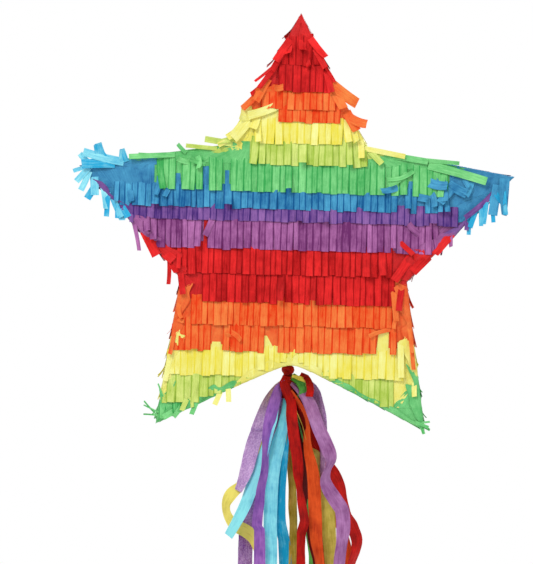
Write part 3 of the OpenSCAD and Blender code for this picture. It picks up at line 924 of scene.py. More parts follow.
def wall_fringe(piece, door_piece, k, i, fringe, chance):
    """Row k's fringe on wall i: lines of strips across the depth that lie down the wall. Where the
    wall faces the ground their ends hang a little away from it."""
    top, down, normal, length = edge_frame(i)
    begin, end = edge_span(k, i)
    if end - begin < 5 * MM:
        return
    lines = max(1, round((end - begin) / (21 * MM)))
    pitch = (end - begin) / lines
    reach_y = HALF_DEPTH - 3.5 * MM
    columns, widths = zip(*(uneven(-reach_y, reach_y, fringe.strip, chance) for _ in range(lines)))
    y, width = np.concatenate(columns), np.concatenate(widths)
    s = np.repeat(begin + np.arange(lines) * pitch - 3 * MM, [len(c) for c in columns])
    n = len(y)
    s = np.maximum(s + chance.normal(0, 0.3 * MM, n), MM)
    faces_down = normal[2] < -0.2
    root = top + down * s[:, None] + normal * (1.2 * MM + chance.uniform(0, 0.4 * MM, n))[:, None]
    # Near the front and the back the strips lie close to the wall.
    calm = np.abs(y) > HALF_DEPTH - 9 * MM
    root = root - normal * np.where(calm, 0.7 * MM, 0)[:, None]
    root[:, 1] = y
    reach = np.minimum(pitch + 4 * MM, 24 * MM) * chance.uniform(0.92, 1.08, n)
    reach = np.minimum(reach, length - s - 0.5 * MM)
    tilt = chance.uniform(0.02, 0.07, n)
    loose = chance.random(n) < 0.08
    curl = np.where(loose, chance.uniform(0.25, 0.6, n),
                    chance.uniform(0.0, 0.14 if faces_down else 0.1, n))
    tilt = np.where(calm | (i in FLAT_EDGES), 0.3 * tilt, tilt)
    curl = np.where(calm, 0.2 * curl, curl) * WALL_CURL.get(i, 1.0)
    twist = chance.normal(0, 0.12, n) * np.where(calm | (i in FLAT_EDGES), 0.3, 1.0)
    keep = reach > 5 * MM
    if i in HOLE_EDGES:
        over_hole = (s < STRING_HOLE + 5 * MM) & (s + reach > STRING_HOLE - 5 * MM)
        keep &= ~((np.abs(y) < 7 * MM) & over_hole)
    on_door = np.zeros(n, bool)
    if i == DOOR_EDGE:
        over = np.abs(y) < DOOR_HALF_W
        on_door = over & (s < DOOR_END - 5 * MM)
        across_hinge = over & (s >= DOOR_END - 5 * MM) & (s < DOOR_END + 2 * MM)
        root = np.where(across_hinge[:, None], root + down * (7 * MM), root)
        keep &= np.abs(np.abs(y) - DOOR_HALF_W) > width / 2 + 0.3 * MM
        reach = np.where(on_door, np.minimum(reach, 15 * MM), reach)
    if i in NOTCH_EDGES:
        keep &= np.hypot(root[:, 0] - KNOT[0], root[:, 1]) > 13 * MM
    across = np.array([0.0, -1.0, 0.0]) * np.sign(np.cross(down, normal)[1])
    tone = np.clip(chance.normal(0.5, 0.24, n), 0, 1)
    grids = strips(root, down, across, normal, width * 1.03, reach, tilt, curl,
                   chance.normal(0, 0.03, n), twist, cup=chance.normal(0, 0.2 * MM, n))
    if i in NOTCH_EDGES:
        sag = arch_sag(grids[..., 0], grids[..., 2])
        grids[..., 2] -= np.where(on_door[:, None, None], 0, np.maximum(sag - 0.4 * MM, 0))
    for chosen, target in ((keep & ~on_door, piece), (keep & on_door, door_piece)):
        if chosen.any():
            target.add(grids[chosen], fringe.paper, width[chosen], reach[chosen], tone[chosen], True)


def pulled_in(x, z, margin):
    """Points (x, z) that lie outside the star, or nearer than the margin to its nearest edge, are
    moved square to that edge until they lie the margin inside it."""
    point = np.stack([x, z], -1)
    ends = np.array([corner(i) for i in range(11)])
    a, b = ends[:-1], ends[1:]
    side = b - a
    along = np.clip(((point[:, None] - a) * side).sum(-1) / (side ** 2).sum(-1), 0.02, 0.98)
    foot = a + along[..., None] * side
    near = np.argmin(np.linalg.norm(point[:, None] - foot, axis=-1), axis=1)
    outward = unit(np.stack([-side[:, 1], side[:, 0]], -1))[near]
    foot = foot[np.arange(len(x)), near]
    beyond = ((point - foot) * outward).sum(-1)
    return point - outward * np.maximum(beyond + margin, 0)[:, None]


def loose_strips(piece, k, fringe, chance):
    """The listed loose ends of row k: strips rooted on the front, near the star's edge."""
    if k not in LOOSE:
        return
    x, z, heading, length, width, curl, bend = np.array(LOOSE[k], float).T
    n = len(x)
    angle = np.radians(heading)
    down = np.stack([np.cos(angle), 0 * angle, np.sin(angle)], -1)
    across = np.stack([np.sin(angle), 0 * angle, -np.cos(angle)], -1)
    x, z = pulled_in(x * MM, CENTRE_Z + z * MM, 2 * MM).T
    root = np.stack([x, -HALF_DEPTH - 2.3 * MM - chance.uniform(0, 1.2 * MM, n), z], -1)
    grids = strips(root, down, across, (0, -1, 0), width * MM, length * MM, 0.03, np.radians(curl),
                   np.radians(bend), chance.normal(0, 0.35, n), rings=9,
                   cup=chance.normal(0, 0.4 * MM, n), emerge=1.2 * MM)
    tone = chance.uniform(-0.3 if k == "cyan" else 0.45, 1.0, n)
    if k == "cyan":
        # The right arm's frays are a deeper blue than the left arm's.
        tone = tone - 0.9 * (x > 0)
    piece.add(kept_in(grids), fringe.paper, width * MM, length * MM, tone)


def build_row(k, fringe):
    """Row k of tissue: its smooth wrapping, the wraps round the edges, and its fringe."""
    colour, node_name = ROWS[k][0], ROW_NODES[k]
    chance = np.random.default_rng(fringe.seed * 100 + k)
    paper = shared_material("tissue_" + colour)
    smooth = shared_material("wrap_" + colour)
    slot = "tissue_" + colour
    ending = f"_{k + 1:02}_{colour}"
    wrap = Piece("wrap" + ending, smooth, "shell", slot, [node_name])
    piece = Piece("fringe" + ending, paper, "shell", slot, [node_name])
    flap = Piece("flap_fringe" + ending, paper, "fill_flap", slot, ["fill_flap_tissue"])
    door = Piece("door_fringe" + ending, paper, "trap_door", slot, ["trap_door_tissue"])
    row_sleeve(wrap, k)
    for i in range(10):
        edge_wrap(wrap, k, i, fringe, chance, OVER.get(i, 0.0) * MM if k > 7 else 0.0)
    for side in (-1, 1):
        face_fringe(piece, flap, k, side, fringe, chance)
    for i in range(10):
        wall_fringe(piece, door, k, i, fringe, chance)
    loose_strips(piece, k, fringe, chance)
    for item in (wrap, piece, flap, door):
        if item.points:
            item.build()


class PINATA_OT_rows(bpy.types.Operator):
    """Tissue rows: smooth wrapping tissue and fringe, from the top point down to the feet."""
    bl_idname = "pinata.rows"
    bl_label = "Tissue rows"

    def execute(self, context):
        for k in range(len(ROWS)):
            build_row(k, context.scene.pinata_fringe)
        return {"FINISHED"}


class PINATA_OT_frayed(bpy.types.Operator):
    """Frayed pale blue tissue: the arm tips' wrapping is torn into ribbons that stand out round
    them, each a strip that turns sideways and curls along its length."""
    bl_idname = "pinata.frayed"
    bl_label = "Frayed arm tips"

    def execute(self, context):
        fringe = context.scene.pinata_fringe
        chance = np.random.default_rng(fringe.seed + 7)
        piece = Piece("frayed_tips_cyan", shared_material("tissue_cyan"), "shell", "tissue_blue")
        loose_strips(piece, "cyan", fringe, chance)
        piece.build()
        return {"FINISHED"}


# ---------------------------------------------------------------- flap and door

def slope_point(along, y, off):
    """A point on the left slope of the bottom notch: so far down it from the apex, at depth y and
    so far outside the board."""
    c, s = math.cos(NOTCH_SLOPE), math.sin(NOTCH_SLOPE)
    along, y, off = np.broadcast_arrays(along, y, off)
    return np.stack([-along * c + off * s, y, APEX_Z - along * s - off * c], -1)


class PINATA_OT_flap(bpy.types.Operator):
    """Fill flap's tissue: one smooth sheet pasted on the board, under the fringe that it carries."""
    bl_idname = "pinata.flap"
    bl_label = "Fill flap tissue"

    def execute(self, context):
        fringe = context.scene.pinata_fringe
        x, z = np.meshgrid(np.linspace(FLAP_LOW[0] + MM, FLAP_HIGH[0] - MM, 40),
                           np.linspace(FLAP_LOW[2] + MM, FLAP_HIGH[2] - MM, 32))
        flat = np.stack([x, 0 * x, z], -1)
        y = HALF_DEPTH + 0.45 * MM + wrinkle(flat, 11 * MM, 4, 0.5 * MM)
        piece = Piece("flap_tissue", shared_material("tissue_violet"), "fill_flap", "tissue_violet",
                      ["fill_flap_tissue"])
        piece.add(np.stack([x, y, z], -1), fringe.paper, 0.1, 0.08, 0.5)
        piece.build()
        return {"FINISHED"}


class PINATA_OT_door(bpy.types.Operator):
    """Trap door's tissue: smooth tissue pasted under the door, in two sheets. The first passes from
    the circle of the pull ribbon's hole to a square, and the second runs on to the hinge."""
    bl_idname = "pinata.door"
    bl_label = "Trap door tissue"

    def execute(self, context):
        fringe = context.scene.pinata_fringe
        piece = Piece("door_tissue", shared_material("tissue_yellow"), "trap_door", "tissue_yellow",
                      ["trap_door_tissue"])
        edge = DOOR_HALF_W - 0.8 * MM
        angle = np.linspace(0, 2 * math.pi, 49)[None, :]
        share = np.linspace(0, 1, 9)[:, None]
        c, s = np.cos(angle), np.sin(angle)
        square = 1 / np.maximum(np.abs(c), np.abs(s))
        reach_along = np.where(c < 0, PULL_AT - DOOR_START - 0.6 * MM, edge)
        ring = 2.4 * MM
        along = PULL_AT + c * (ring + share * (reach_along * square - ring))
        y = s * (ring + share * (edge * square - ring))
        off = 0.5 * MM + 0.4 * MM * share * np.sin(along / (3 * MM)) ** 2
        piece.add(slope_point(along, y, off), fringe.paper, 0.05, 0.05, 0.5)
        # The rest of the sheet, from the square to the hinge.
        along, y = np.meshgrid(np.linspace(PULL_AT + edge - 0.5 * MM, DOOR_END - MM, 10),
                               np.linspace(-edge, edge, 26), indexing="ij")
        off = 0.5 * MM + 0.3 * MM * np.sin(along / (3 * MM)) ** 2
        piece.add(slope_point(along, y, off), fringe.paper, 0.05, 0.03, 0.5)
        piece.build()
        return {"FINISHED"}


# ---------------------------------------------------------------- tassel

def smooth_path(points, count):
    """A smooth curve through the given points: each coordinate is a cubic through its neighbours
    with the tangent of the chord between them, sampled evenly along the curve."""
    p = np.asarray(points, float)
    knots = np.concatenate([[0], np.cumsum(np.linalg.norm(np.diff(p[:, :3], axis=0), axis=1))])
    tangent = np.gradient(p, knots, axis=0)
    t = np.linspace(0, knots[-1], 400)
    i = np.clip(np.searchsorted(knots, t, side="right") - 1, 0, len(knots) - 2)
    h = (knots[i + 1] - knots[i])[:, None]
    u = (t[:, None] - knots[i][:, None]) / h
    fine = ((2 * u ** 3 - 3 * u ** 2 + 1) * p[i] + (u ** 3 - 2 * u ** 2 + u) * h * tangent[i]
            + (3 * u ** 2 - 2 * u ** 3) * p[i + 1] + (u ** 3 - u ** 2) * h * tangent[i + 1])
    run = np.concatenate([[0], np.cumsum(np.linalg.norm(np.diff(fine[:, :3], axis=0), axis=1))])
    even = np.linspace(0, run[-1], count)
    return np.stack([np.interp(even, run, fine[:, j]) for j in range(fine.shape[1])], -1), run[-1]


def ribbon_grid(path, width, gather=0.0, ripple=0.0, seed=0, columns=9, cup=0.7 * MM):
    """A ribbon carried along a path of (x, y, z, turn): across it, points run from one side to the
    other, turned about the path from facing the front by the turn in degrees. It is pleated and
    narrow where it is gathered, cupped across its width, creased at a few slanting kinks, and
    rippled where it is crinkled."""
    points, length = smooth_path(path, 90)
    line, turn = points[:, :3], np.radians(points[:, 3])[:, None]
    heading = unit(np.gradient(line, axis=0))
    flat = unit(np.cross(np.array([0.0, 1.0, 0.0]) + 0 * heading, heading))
    if abs(heading[:, 2]).min() > 0.35:
        flat = flat * np.where(flat[:, :1] < 0, -1, 1)
    facing = np.cross(heading, flat)
    facing = facing * np.where(facing[:, 1:2] > 0, -1, 1)
    wide = flat * np.cos(turn) + facing * np.sin(turn)
    face = unit(np.cross(wide, heading))
    chance = np.random.default_rng(seed)
    t = np.linspace(0, 1, len(line))
    c = np.linspace(-1, 1, columns)
    pinch = 1 - gather * np.exp(-(t * length) / (16 * MM))
    taper = (width / 2 * pinch)[:, None] * c[None, :]
    fades = np.exp(-(t * length) / (22 * MM))[:, None]
    pleat = gather * 1.3 * MM * fades * np.sin(2.5 * math.pi * c)[None, :]
    bow = cup * (1 - c[None, :] ** 2) * np.sin(t * math.pi * 3 + chance.uniform(0, 6))[:, None]
    kinks = np.sort(chance.uniform(0.18, 1.0, max(2, int(length / (40 * MM)))))
    slant = chance.uniform(-0.5, 0.5, len(kinks))
    way_along = t[:, None] + slant.mean() * c[None, :] * width / length
    to_a_side = chance.choice([-1, 1], len(kinks))
    height = np.concatenate([[0], to_a_side * chance.uniform(1.2, 3.0, len(kinks)) * MM, [0]])
    fold = np.interp(way_along, np.concatenate([[0.12], kinks, [1.3]]), height)
    grid = line[:, None, :] + wide[:, None, :] * taper[..., None]
    grid = grid + face[:, None, :] * (pleat + bow + fold)[..., None]
    if ripple:
        crinkle = wrinkle(grid, 5 * MM, seed + 40, ripple)
        crinkle = crinkle + wrinkle(grid, 2.4 * MM, seed + 41, ripple * 0.6)
        grid = grid + face[:, None, :] * crinkle[..., None]
    return grid, length


# The streamers, numbered from 1: colour, width in millimetres, whether crinkled, how far towards the
# back it hangs (-1 is the front of the tassel, 1 the back), how pale it is (0 is deep and 1 pale, and it
# may go past them), and its way. The paleness is partly the paper's own tone and partly painted light
# and shade: streamers that hang in the shade of others are drawn deeper, and those in open light paler.
# A way is a list of (x, drop, turn) in millimetres and degrees from the knot, seen from the front.
STREAMERS = [
    ("cyan", 13, 0, -0.6, 1.2, [
        (-10, 24, 20), (-14, 42, 25), (-18, 58, 40), (-20, 70, 50), (-23, 83, 45), (-31, 109, 25),
        (-38, 131, 30), (-46, 148, 40), (-54, 163, 50)]),
    ("purple", 13.5, 0, -0.95, 0.6, [
        (-2, 11, 55), (-8, 17, 30), (-11, 27, 20), (-15, 42, 25), (-18, 56, 35), (-20, 68, 50),
        (-21, 82, 60), (-22, 100, 55), (-25, 116, 50), (-26, 135, 45), (-25, 155, 40), (-24, 188, 35),
        (-23, 236, 30), (-22, 288, 25)]),
    ("cyan", 14, 0, -0.5, 0.8, [
        (-1, 22, 70), (-2, 39, 60), (-4, 56, 40), (-8, 72, 15), (-11, 86, 10), (-13, 102, 10),
        (-14, 138, 20), (-12, 177, 25), (-10, 215, 35), (-6, 280, 25)]),
    ("red", 13, 0, -1.2, 0.5, [
        (-2, 6.2, 50), (-4, 11, 20), (-1, 19, 10), (3, 28, 30), (5, 45, 30), (8, 64, 30), (12, 83, 35),
        (14, 100, 40), (15, 113, 60), (16, 126, 50), (18, 144, 45), (18, 177, 50), (20, 215, 35),
        (22, 271, 25)]),
    ("orange", 13, 0, -0.75, 0.5, [
        (3, 20, 65), (14, 36, 70), (20, 53, 65), (22, 69, 55), (26, 89, 35), (28, 105, 20),
        (29, 126, 15), (30, 146, 15), (31, 164, 25), (34, 182, 45), (36, 215, 50), (36, 284, 35)]),
    ("purple", 14, 0, -1.05, 0.6, [
        (3, 13, 60), (13, 20, 35), (21, 30, 10), (26, 42, 15), (31, 56, 20), (37, 68, 15), (42, 79, 10),
        (44, 87, 45), (42, 95, 62), (40, 104, 45), (43, 114, 20), (49, 124, 5), (56, 135, 10),
        (58, 149, 10), (58, 164, 35), (56, 182, 35), (56, 215, 50), (58, 273, 35)]),
    ("purple", 14, 1, -0.4, 0.8, [
        (-2, 10, 55), (-11, 19, 50), (-16, 28, 35), (-22, 43, 20), (-27, 58, 10), (-32, 72, 10),
        (-35, 85, 10), (-38, 97, 25), (-42, 109, 45), (-46, 119, 60)]),
    ("purple", 15, 1, 0.6, 0.1, [
        (-1, 20, 55), (-10, 50, 55), (-20, 85, 45), (-31, 116, 35), (-37, 135, 25), (-37, 157, 20),
        (-37, 177, 20), (-36, 215, 25), (-34, 286, 35)]),
    ("cyan", 13, 0, -0.3, -0.3, [
        (0, 22, 65), (0, 50, 60), (-1, 78, 55), (-2, 98, 50), (-3, 116, 45), (-3, 133, 40),
        (-2, 148, 40), (0, 163, 20), (1, 179, 20), (3, 222, 35), (6, 297, 35)]),
    ("yellow", 13, 0, -0.15, 0.35, [
        (1, 22, 65), (1, 50, 70), (3, 75, 65), (4, 94, 60), (6, 113, 55), (7, 133, 50), (9, 149, 55),
        (10, 167, 55), (11, 182, 55), (12, 222, 45), (14, 277, 45)]),
    ("green", 13, 0, 0.3, 0.4, [
        (2, 20, 75), (7, 39, 75), (13, 64, 65), (18, 91, 65), (19, 116, 60), (20, 135, 60),
        (23, 157, 55), (28, 177, 40), (30, 222, 50), (28, 289, 55)]),
    ("yellow", 14, 0, -0.1, 0.5, [
        (3, 22, 65), (13, 45, 75), (22, 64, 70), (29, 82, 65), (34, 98, 60), (37, 111, 50),
        (41, 124, 30), (43, 139, 15), (44, 156, 15), (45, 174, 25), (47, 222, 45), (48, 291, 35)]),
    ("yellow", 13, 0, 0.35, 1.3, [
        (-9, 24, 65), (-18, 56, 60), (-33, 91, 55), (-44, 117, 45), (-52, 124, 25), (-56, 134, 50),
        (-53, 146, 45), (-46, 154, 15), (-37, 159, 5), (-29, 165, 10), (-23, 176, 40), (-21, 190, 60),
        (-21, 222, 60), (-21, 262, 60)]),
    ("cyan", 13, 0, 1.0, 0.5, [
        (-3, 22, 65), (-14, 56, 60), (-26, 91, 55), (-34, 126, 45), (-38, 153, 35), (-38, 174, 25),
        (-37, 222, 35), (-37, 275, 35)]),
    ("red", 15, 0, 0.0, -0.6, [
        (3, 9, 50), (7, 18, 30), (9, 31, 20), (12, 50, 40), (16, 69, 45), (17, 89, 55), (18, 105, 55),
        (22, 130, 50), (27, 153, 35), (31, 171, 25), (36, 188, 25), (38, 222, 35), (38, 288, 35)]),
    ("purple", 16, 1, 0.35, 0.6, [
        (5, 11, 55), (18, 13, 45), (25, 19, 40), (29, 31, 35), (33, 45, 35), (35, 58, 40), (37, 71, 55),
        (36, 89, 55), (34, 113, 35), (34, 174, 45), (35, 256, 45)]),
    ("orange", 13, 0, 0.85, 0.7, [
        (4, 22, 65), (19, 56, 60), (33, 91, 55), (45, 126, 45), (56, 156, 45), (62, 175, 30),
        (65, 194, 25), (65, 229, 35), (64, 284, 35)]),
    ("red", 14, 0, 0.35, 0.7, [
        (4, 20, 65), (20, 45, 50), (28, 61, 35), (34, 78, 30), (40, 91, 20), (48, 101, 20),
        (54, 112, 30), (58, 126, 45), (63, 142, 50), (68, 156, 35), (71, 165, 35), (70, 174, 45),
        (66, 188, 55), (63, 215, 55), (62, 274, 35)]),
]


# Numbers of the purple streamers that are of a redder paper.
PLUM = (6,)


def streamer_depth(share, drop, phase):
    """How far behind the knot a streamer hangs: its share of a spread that grows with the drop, and
    a slight wave."""
    return share * (5.5 * MM + 0.075 * drop) + 0.9 * MM * math.sin(phase)


class PINATA_OT_streamers(bpy.types.Operator):
    """Streamers of the tassel: flat tissue ribbons carried along given ways, some crinkled."""
    bl_idname = "pinata.streamers"
    bl_label = "Streamers"

    def execute(self, context):
        tassel = context.scene.pinata_tassel
        for k, (colour, width, crinkled, share, pale, way) in enumerate(STREAMERS):
            ending = f"_{k + 1:02}_{colour}"
            path = [(KNOT[0] + x * MM, streamer_depth(share, drop * MM, 1.7 * j + k),
                     KNOT[2] - drop * MM, turn * (-1) ** k) for j, (x, drop, turn) in enumerate(way)]
            wide = width * MM * tassel.width / PLAIN_WIDTH
            kind, ripple, columns = (("crinkled_streamer_", 0.6 * MM, 15) if crinkled
                                     else ("streamer_", 0.15 * MM, 9))
            grid, length = ribbon_grid(path, wide, gather=0.5, ripple=ripple, seed=k, columns=columns)
            paper = shared_material(kind + ("plum" if k + 1 in PLUM else colour))
            piece = Piece("ribbon" + ending, paper, "tassel", "streamer_" + colour,
                          ["streamer" + ending])
            # The paleness is partly painted shade and light, set for each streamer.
            piece.add(grid, tassel.paper, wide, length, pale)
            made = piece.build()
        return {"FINISHED"}


def tube_grid(line, radius, sides=14, squash=1.0, seed=0, lumps=0.0):
    """A closed tube carried along a line: circles of the given radius square to it, squashed to an
    oval and dented by wrinkles. A closed line gives a closed tube."""
    heading = unit(np.gradient(line, axis=0))
    across = unit(np.cross(heading, np.array([0.3, 1.0, 0.2])))
    other = np.cross(heading, across)
    a = np.linspace(0, 2 * math.pi, sides + 1)[None, :, None]
    radius = np.broadcast_to(radius, (len(line),))[:, None, None]
    ring = across[:, None, :] * np.cos(a) + other[:, None, :] * np.sin(a) * squash
    grid = line[:, None, :] + ring * radius
    if lumps:
        grid = grid + ring * wrinkle(grid, 3 * MM, seed, lumps)[..., None]
    grid[:, -1] = grid[:, 0]
    return grid


def twisted_tube(name, line, radius, paper, body, replaces=(), squash=1.0, lumps=0.5 * MM,
                 closed=False):
    """A twisted ribbon as one closed mesh: a lumpy tube whose ends are drawn in to a point, or whose
    last ring joins its first."""
    if not closed:
        t = np.linspace(0, 1, len(line))
        ease = np.clip(np.minimum(t, 1 - t) * 14, 0, 1)
        radius = np.asarray(radius) * np.sqrt(1 - (1 - ease) ** 2)
        radius = np.maximum(radius, 0.01 * MM)
    grid = tube_grid(line, radius, squash=squash, seed=len(name), lumps=lumps)[:, :-1]
    if closed:
        grid = grid[:-1]
    rows, sides = grid.shape[:2]
    index = np.arange(rows * sides).reshape(rows, sides)
    after = np.roll(index, -1, axis=1)
    quads = np.stack([index, after, np.roll(after, -1, axis=0), np.roll(index, -1, axis=0)], -1)
    if closed:
        faces = quads.reshape(-1, 4).tolist()
    else:
        caps = [index[0, ::-1].tolist(), index[-1].tolist()]
        faces = quads[:-1].reshape(-1, 4).tolist() + caps
    mesh = bpy.data.meshes.new(name)
    mesh.from_pydata(grid.reshape(-1, 3).tolist(), [], faces)
    mesh.update()
    shape = bmesh.new()
    shape.from_mesh(mesh)
    bmesh.ops.recalc_face_normals(shape, faces=shape.faces)
    shape.to_mesh(mesh)
    shape.free()
    # Paper coordinates as on a ribbon 6 mm wide and 50 mm long.
    where = np.zeros(len(mesh.loops), int)
    mesh.loops.foreach_get("vertex_index", where)
    uv = np.stack([(where % sides) / sides * 6 * MM, (where // sides) / rows * 50 * MM], -1)
    mesh.uv_layers.new(name="paper").data.foreach_set("uv", uv.ravel())
    tones = np.full(len(mesh.vertices), 0.4)
    mesh.attributes.new("tone", "FLOAT", "POINT").data.foreach_set("value", tones)
    mesh.shade_smooth()
    return into_scene(name, mesh, shared_material(paper), body, replaces)


def overhand(radius, squash, count=120):
    """The middle line of a tied knot: a trefoil, which winds twice round one way and three times
    round the other, squashed front to back."""
    t = np.linspace(0, 2 * math.pi, count)
    return np.stack([(np.sin(t) + 2 * np.sin(2 * t)) / 3 * radius,
                     -np.sin(3 * t) / 3 * radius * squash * 2,
                     (np.cos(t) - 2 * np.cos(2 * t)) / 3 * radius], -1)


class PINATA_OT_pull_ribbon(bpy.types.Operator):
    """Pull ribbon: a twisted ribbon through the trap door, tied off in a stop knot inside."""
    bl_idname = "pinata.pull_ribbon"
    bl_label = "Pull ribbon"

    def execute(self, context):
        off = np.linspace(-4.5 * MM, 8.5 * MM, 50)
        twist = off / (1.4 * MM)
        line = slope_point(PULL_AT + 0.35 * MM * np.cos(twist), 0.35 * MM * np.sin(twist), off)
        twisted_tube("pull_cord", line, 1.5 * MM, "streamer_red", "trap_door",
                     ["pull_ribbon"], lumps=0.25 * MM)
        centre = slope_point(PULL_AT, 0.0, -6.8 * MM)
        twisted_tube("pull_stop_knot", centre + overhand(2.4 * MM, 0.5), 1.35 * MM, "streamer_red",
                     "trap_door", ["pull_ribbon"], lumps=0.2 * MM, closed=True)
        return {"FINISHED"}


class PINATA_OT_knot(bpy.types.Operator):
    """Knot that the tassel hangs from: the pull ribbon tied in an overhand knot."""
    bl_idname = "pinata.knot"
    bl_label = "Tassel knot"

    def execute(self, context):
        line = KNOT + np.array([0, 0, -MM]) + overhand(4.0 * MM, 0.55)
        twisted_tube("knot_ribbon", line, 2.7 * MM, "streamer_red", "tassel_knot",
                     ["tassel_knot"], squash=0.85, closed=True)
        return {"FINISHED"}


# Small ribbons round the binding: name, width, how pale, and way. A way is a list of (x, drop,
# turn, y) in millimetres and degrees from the knot.
BINDING_ENDS = [
    ("loop_green", 10, 0.45, [
        (4, 6, 0, -4), (8, 8.5, 10, -5.5), (12, 13, 20, -6.5), (14, 20, 40, -6), (10, 25, 70, -5),
        (5, 20, 90, -3)]),
    ("fold_yellow", 6, 1.4, [
        (4, 6.2, 0, -4.5), (8, 7, 15, -6), (13, 9, 30, -6.5), (16, 12, 60, -5), (15, 16, 80, -3)]),
    ("tail_red", 8, 0.45, [
        (12, 4, 20, -5), (18, 7, 30, -7), (21, 13, 15, -8.5), (22, 19, 5, -8.5), (22, 25, -20, -8)]),
]


def binding_band():
    """The binding's band: a helix of 2.3 turns that widens downwards, 6 mm wide and bulging."""
    t = np.linspace(0, 1, 60)
    radius = (4.2 + 2.6 * t) * MM
    angle = 2 * math.pi * 2.3 * t
    outward = np.stack([np.cos(angle), np.sin(angle), 0 * angle], -1)
    helix = KNOT + outward * radius[:, None] - np.stack([0 * t, 0 * t, (6.5 + 8.5 * t) * MM], -1)
    c = np.linspace(-1, 1, 7)
    band = helix[:, None, :] + np.stack([0 * c, 0 * c, c * 3.0 * MM], -1)[None]
    return band + outward[:, None, :] * (1 - c ** 2)[None, :, None] * 0.9 * MM


def gathered_neck():
    """The streamers' gathered upper ends: an oval cone with 11 pleats that deepen downwards."""
    t = np.linspace(0, 1, 14)[:, None]
    angle = np.linspace(0, 2 * math.pi, 65)[None, :]
    radius = (3.2 + 5.0 * t) * MM * (1 + 0.16 * np.sin(angle * 11) * t)
    x = radius * np.cos(angle) + 2 * MM * t
    z = -(5.5 + 22 * t) * MM + 0 * angle
    return KNOT + np.stack([x, radius * np.sin(angle) * 0.8, z], -1)


class PINATA_OT_collar(bpy.types.Operator):
    """Binding under the knot: the gathered necks of the streamers, a red ribbon wound round them
    in a helix, a green loop, a pale yellow fold, a red tail and a small red bow knot."""
    bl_idname = "pinata.collar"
    bl_label = "Tassel binding"

    def execute(self, context):
        paper = context.scene.pinata_tassel.paper
        piece = Piece("binding_red", shared_material("streamer_red"), "tassel", "streamer_red",
                      ["tassel_collar"])
        piece.add(binding_band(), paper, 6 * MM, 0.09, 0.4)
        # The gathered neck is drawn in a tone deeper than the red's deep tint: painted shade for the
        # shadowed inside of the bundle under the knot.
        piece.add(gathered_neck(), paper, 0.04, 0.022, -0.3)
        piece.build()
        for k, (name, width, pale, way) in enumerate(BINDING_ENDS):
            key = "streamer_" + name.split("_")[1]
            path = [(*(KNOT + np.array([x, y, -drop]) * MM), turn) for x, drop, turn, y in way]
            grid, length = ribbon_grid(path, width * MM, gather=0.3, ripple=0.25 * MM, seed=k + 60,
                                       columns=7)
            end = Piece(name, shared_material(key), "tassel", key)
            end.add(grid, paper, width * MM, length, pale)
            end.build()
        line = KNOT + np.array([17.5, -7, -6.5]) * MM + overhand(2.0 * MM, 0.6)
        twisted_tube("bow_knot_red", line, 1.3 * MM, "streamer_red", "tassel",
                     lumps=0.2 * MM, closed=True)
        return {"FINISHED"}


# ---------------------------------------------------------------- board and stage

class PINATA_OT_board(bpy.types.Operator):
    """Cardboard and tape: the board panels, the walls, the flap and the door keep their shapes and
    take their own materials."""
    bl_idname = "pinata.board"
    bl_label = "Cardboard box"

    def execute(self, context):
        colours = context.scene.pinata_colours
        board = kraft_board("corrugated_kraft_board", tuple(colours.board))
        tape = kraft_board("gummed_paper_tape", tuple(colours.tape), flutes=False)
        for name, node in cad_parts.items():
            if name.startswith(("tissue_row", "streamer", "tassel")) or name.endswith("_tissue"):
                continue
            for stretch in node.material_slots:
                stretch.material = tape if name == "corner_tapes" else board
        return {"FINISHED"}


# The camera's distance from the star's front, the height it sees there, how far the middle of the
# view lies beside and below the star's middle, and how far the camera is rolled.
CAMERA_DISTANCE = 2.2
VIEW_HEIGHT = 0.5426
VIEW_X = -26.4 * MM
VIEW_DROP = 39.4 * MM
CAMERA_ROLL = math.radians(-1.54)
# Area lights: name, place from the star's middle, size, all in metres, and power in watts.
LIGHTS = (
    ("key_light", (-0.8, -1.5, 1.3), 0.7, 21), ("fill_light", (1.4, -1.5, 0.1), 1.4, 7),
    ("back_light", (0.5, 1.7, 0.9), 1.2, 22),
)


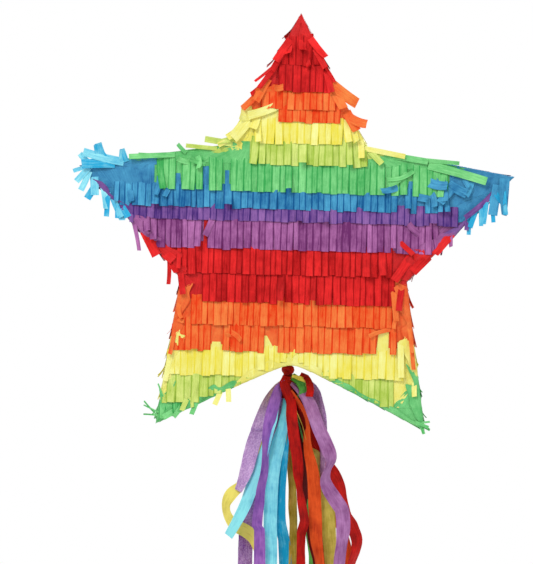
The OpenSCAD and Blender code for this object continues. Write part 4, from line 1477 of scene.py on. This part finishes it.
class PINATA_OT_stage(bpy.types.Operator):
    """Studio: the camera in front of the star, soft area lights, a white surround and a small pale
    floor made of rings."""
    bl_idname = "pinata.stage"
    bl_label = "Camera, lights and floor"

    def execute(self, context):
        scene = context.scene
        data = bpy.data.cameras.new("camera")
        data.lens = data.sensor_width * CAMERA_DISTANCE / VIEW_HEIGHT
        camera = bpy.data.objects.new("camera", data)
        camera.location = (VIEW_X, -HALF_DEPTH - CAMERA_DISTANCE, CENTRE_Z - VIEW_DROP)
        camera.rotation_euler = (math.pi / 2, CAMERA_ROLL, 0)
        scene.collection.objects.link(camera)
        scene.camera = camera
        for name, place, size, power in LIGHTS:
            lamp = bpy.data.lights.new(name, "AREA")
            lamp.size, lamp.energy = size, power
            light = bpy.data.objects.new(name, lamp)
            light.location = np.array(place) + (0, 0, CENTRE_Z)
            light.rotation_euler = Vector(place).to_track_quat("Z", "Y").to_euler()
            scene.collection.objects.link(light)
        world = bpy.data.worlds.new("studio")
        scene.world = world
        world.use_nodes = True
        tree = world.node_tree
        tree.nodes.clear()
        out = add_node(tree, "ShaderNodeOutputWorld")
        seen = add_node(tree, "ShaderNodeLightPath").outputs["Is Camera Ray"]
        # The surround lights the star at half the strength that it shows at behind it.
        white = (1, 1, 1, 1)
        lit = add_node(tree, "ShaderNodeBackground", None, {"Color": white, "Strength": 0.5})
        shown = add_node(tree, "ShaderNodeBackground", None, {"Color": white, "Strength": 1.0})
        mix = add_node(tree, "ShaderNodeMixShader", None,
                       {0: seen, 1: lit.outputs[0], 2: shown.outputs[0]})
        tree.links.new(mix.outputs[0], out.inputs[0])
        scene.view_settings.view_transform = "Standard"
        radius = np.array([0.0001, 0.3, 0.5, 0.7])[:, None]
        sides = 64
        angle = np.linspace(0, 2 * math.pi, sides + 1)[None, :-1]
        height = 0 * radius * angle + FLOOR_Z
        disc = np.stack([radius * np.cos(angle), radius * np.sin(angle), height], -1)
        index = np.arange(disc.shape[0] * sides).reshape(-1, sides)
        after = np.roll(index, -1, axis=1)
        quads = np.stack([index[:-1], index[1:], after[1:], after[:-1]], -1).reshape(-1, 4)
        mesh = bpy.data.meshes.new("floor")
        mesh.from_pydata(disc.reshape(-1, 3).tolist(), [], quads.tolist())
        mesh.materials.append(studio_floor("painted_floor", tuple(scene.pinata_colours.floor)))
        floor = bpy.data.objects.new("floor", mesh)
        scene.collection.objects.link(floor)
        return {"FINISHED"}


OPERATORS = (
    PINATA_OT_stage, PINATA_OT_board, PINATA_OT_rows, PINATA_OT_frayed, PINATA_OT_flap, PINATA_OT_door,
    PINATA_OT_pull_ribbon, PINATA_OT_knot, PINATA_OT_collar, PINATA_OT_streamers,
)


class PINATA_PT_panel(bpy.types.Panel):
    """Star pinata's settings and the steps that build it."""
    bl_idname = "PINATA_PT_panel"
    bl_label = "Star pinata"
    bl_space_type = "VIEW_3D"
    bl_region_type = "UI"
    bl_category = "Pinata"

    def draw(self, context):
        for name, _ in GROUPS:
            group = getattr(context.scene, name)
            box = self.layout.box()
            for key in group.bl_rna.properties.keys():
                if key not in ("rna_type", "name"):
                    box.prop(group, key)
        for operator in OPERATORS:
            self.layout.operator(operator.bl_idname)


GROUPS = (
    ("pinata_fringe", PinataFringe), ("pinata_tassel", PinataTassel),
    ("pinata_colours", PinataColours),
)


def register():
    """Registers the settings, the steps and the panel."""
    for name, group in GROUPS:
        bpy.utils.register_class(group)
        setattr(bpy.types.Scene, name, bpy.props.PointerProperty(type=group))
    for item in (*OPERATORS, PINATA_PT_panel):
        bpy.utils.register_class(item)


def unregister():
    """Removes what register added, in the opposite order."""
    for item in (PINATA_PT_panel, *reversed(OPERATORS)):
        bpy.utils.unregister_class(item)
    for name, group in reversed(GROUPS):
        delattr(bpy.types.Scene, name)
        bpy.utils.unregister_class(group)


def main():
    """Builds everything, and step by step."""
    register()
    for operator in OPERATORS:
        group, _, step = operator.bl_idname.partition(".")
        getattr(getattr(bpy.ops, group), step)()


if __name__ == "__main__":
    main()
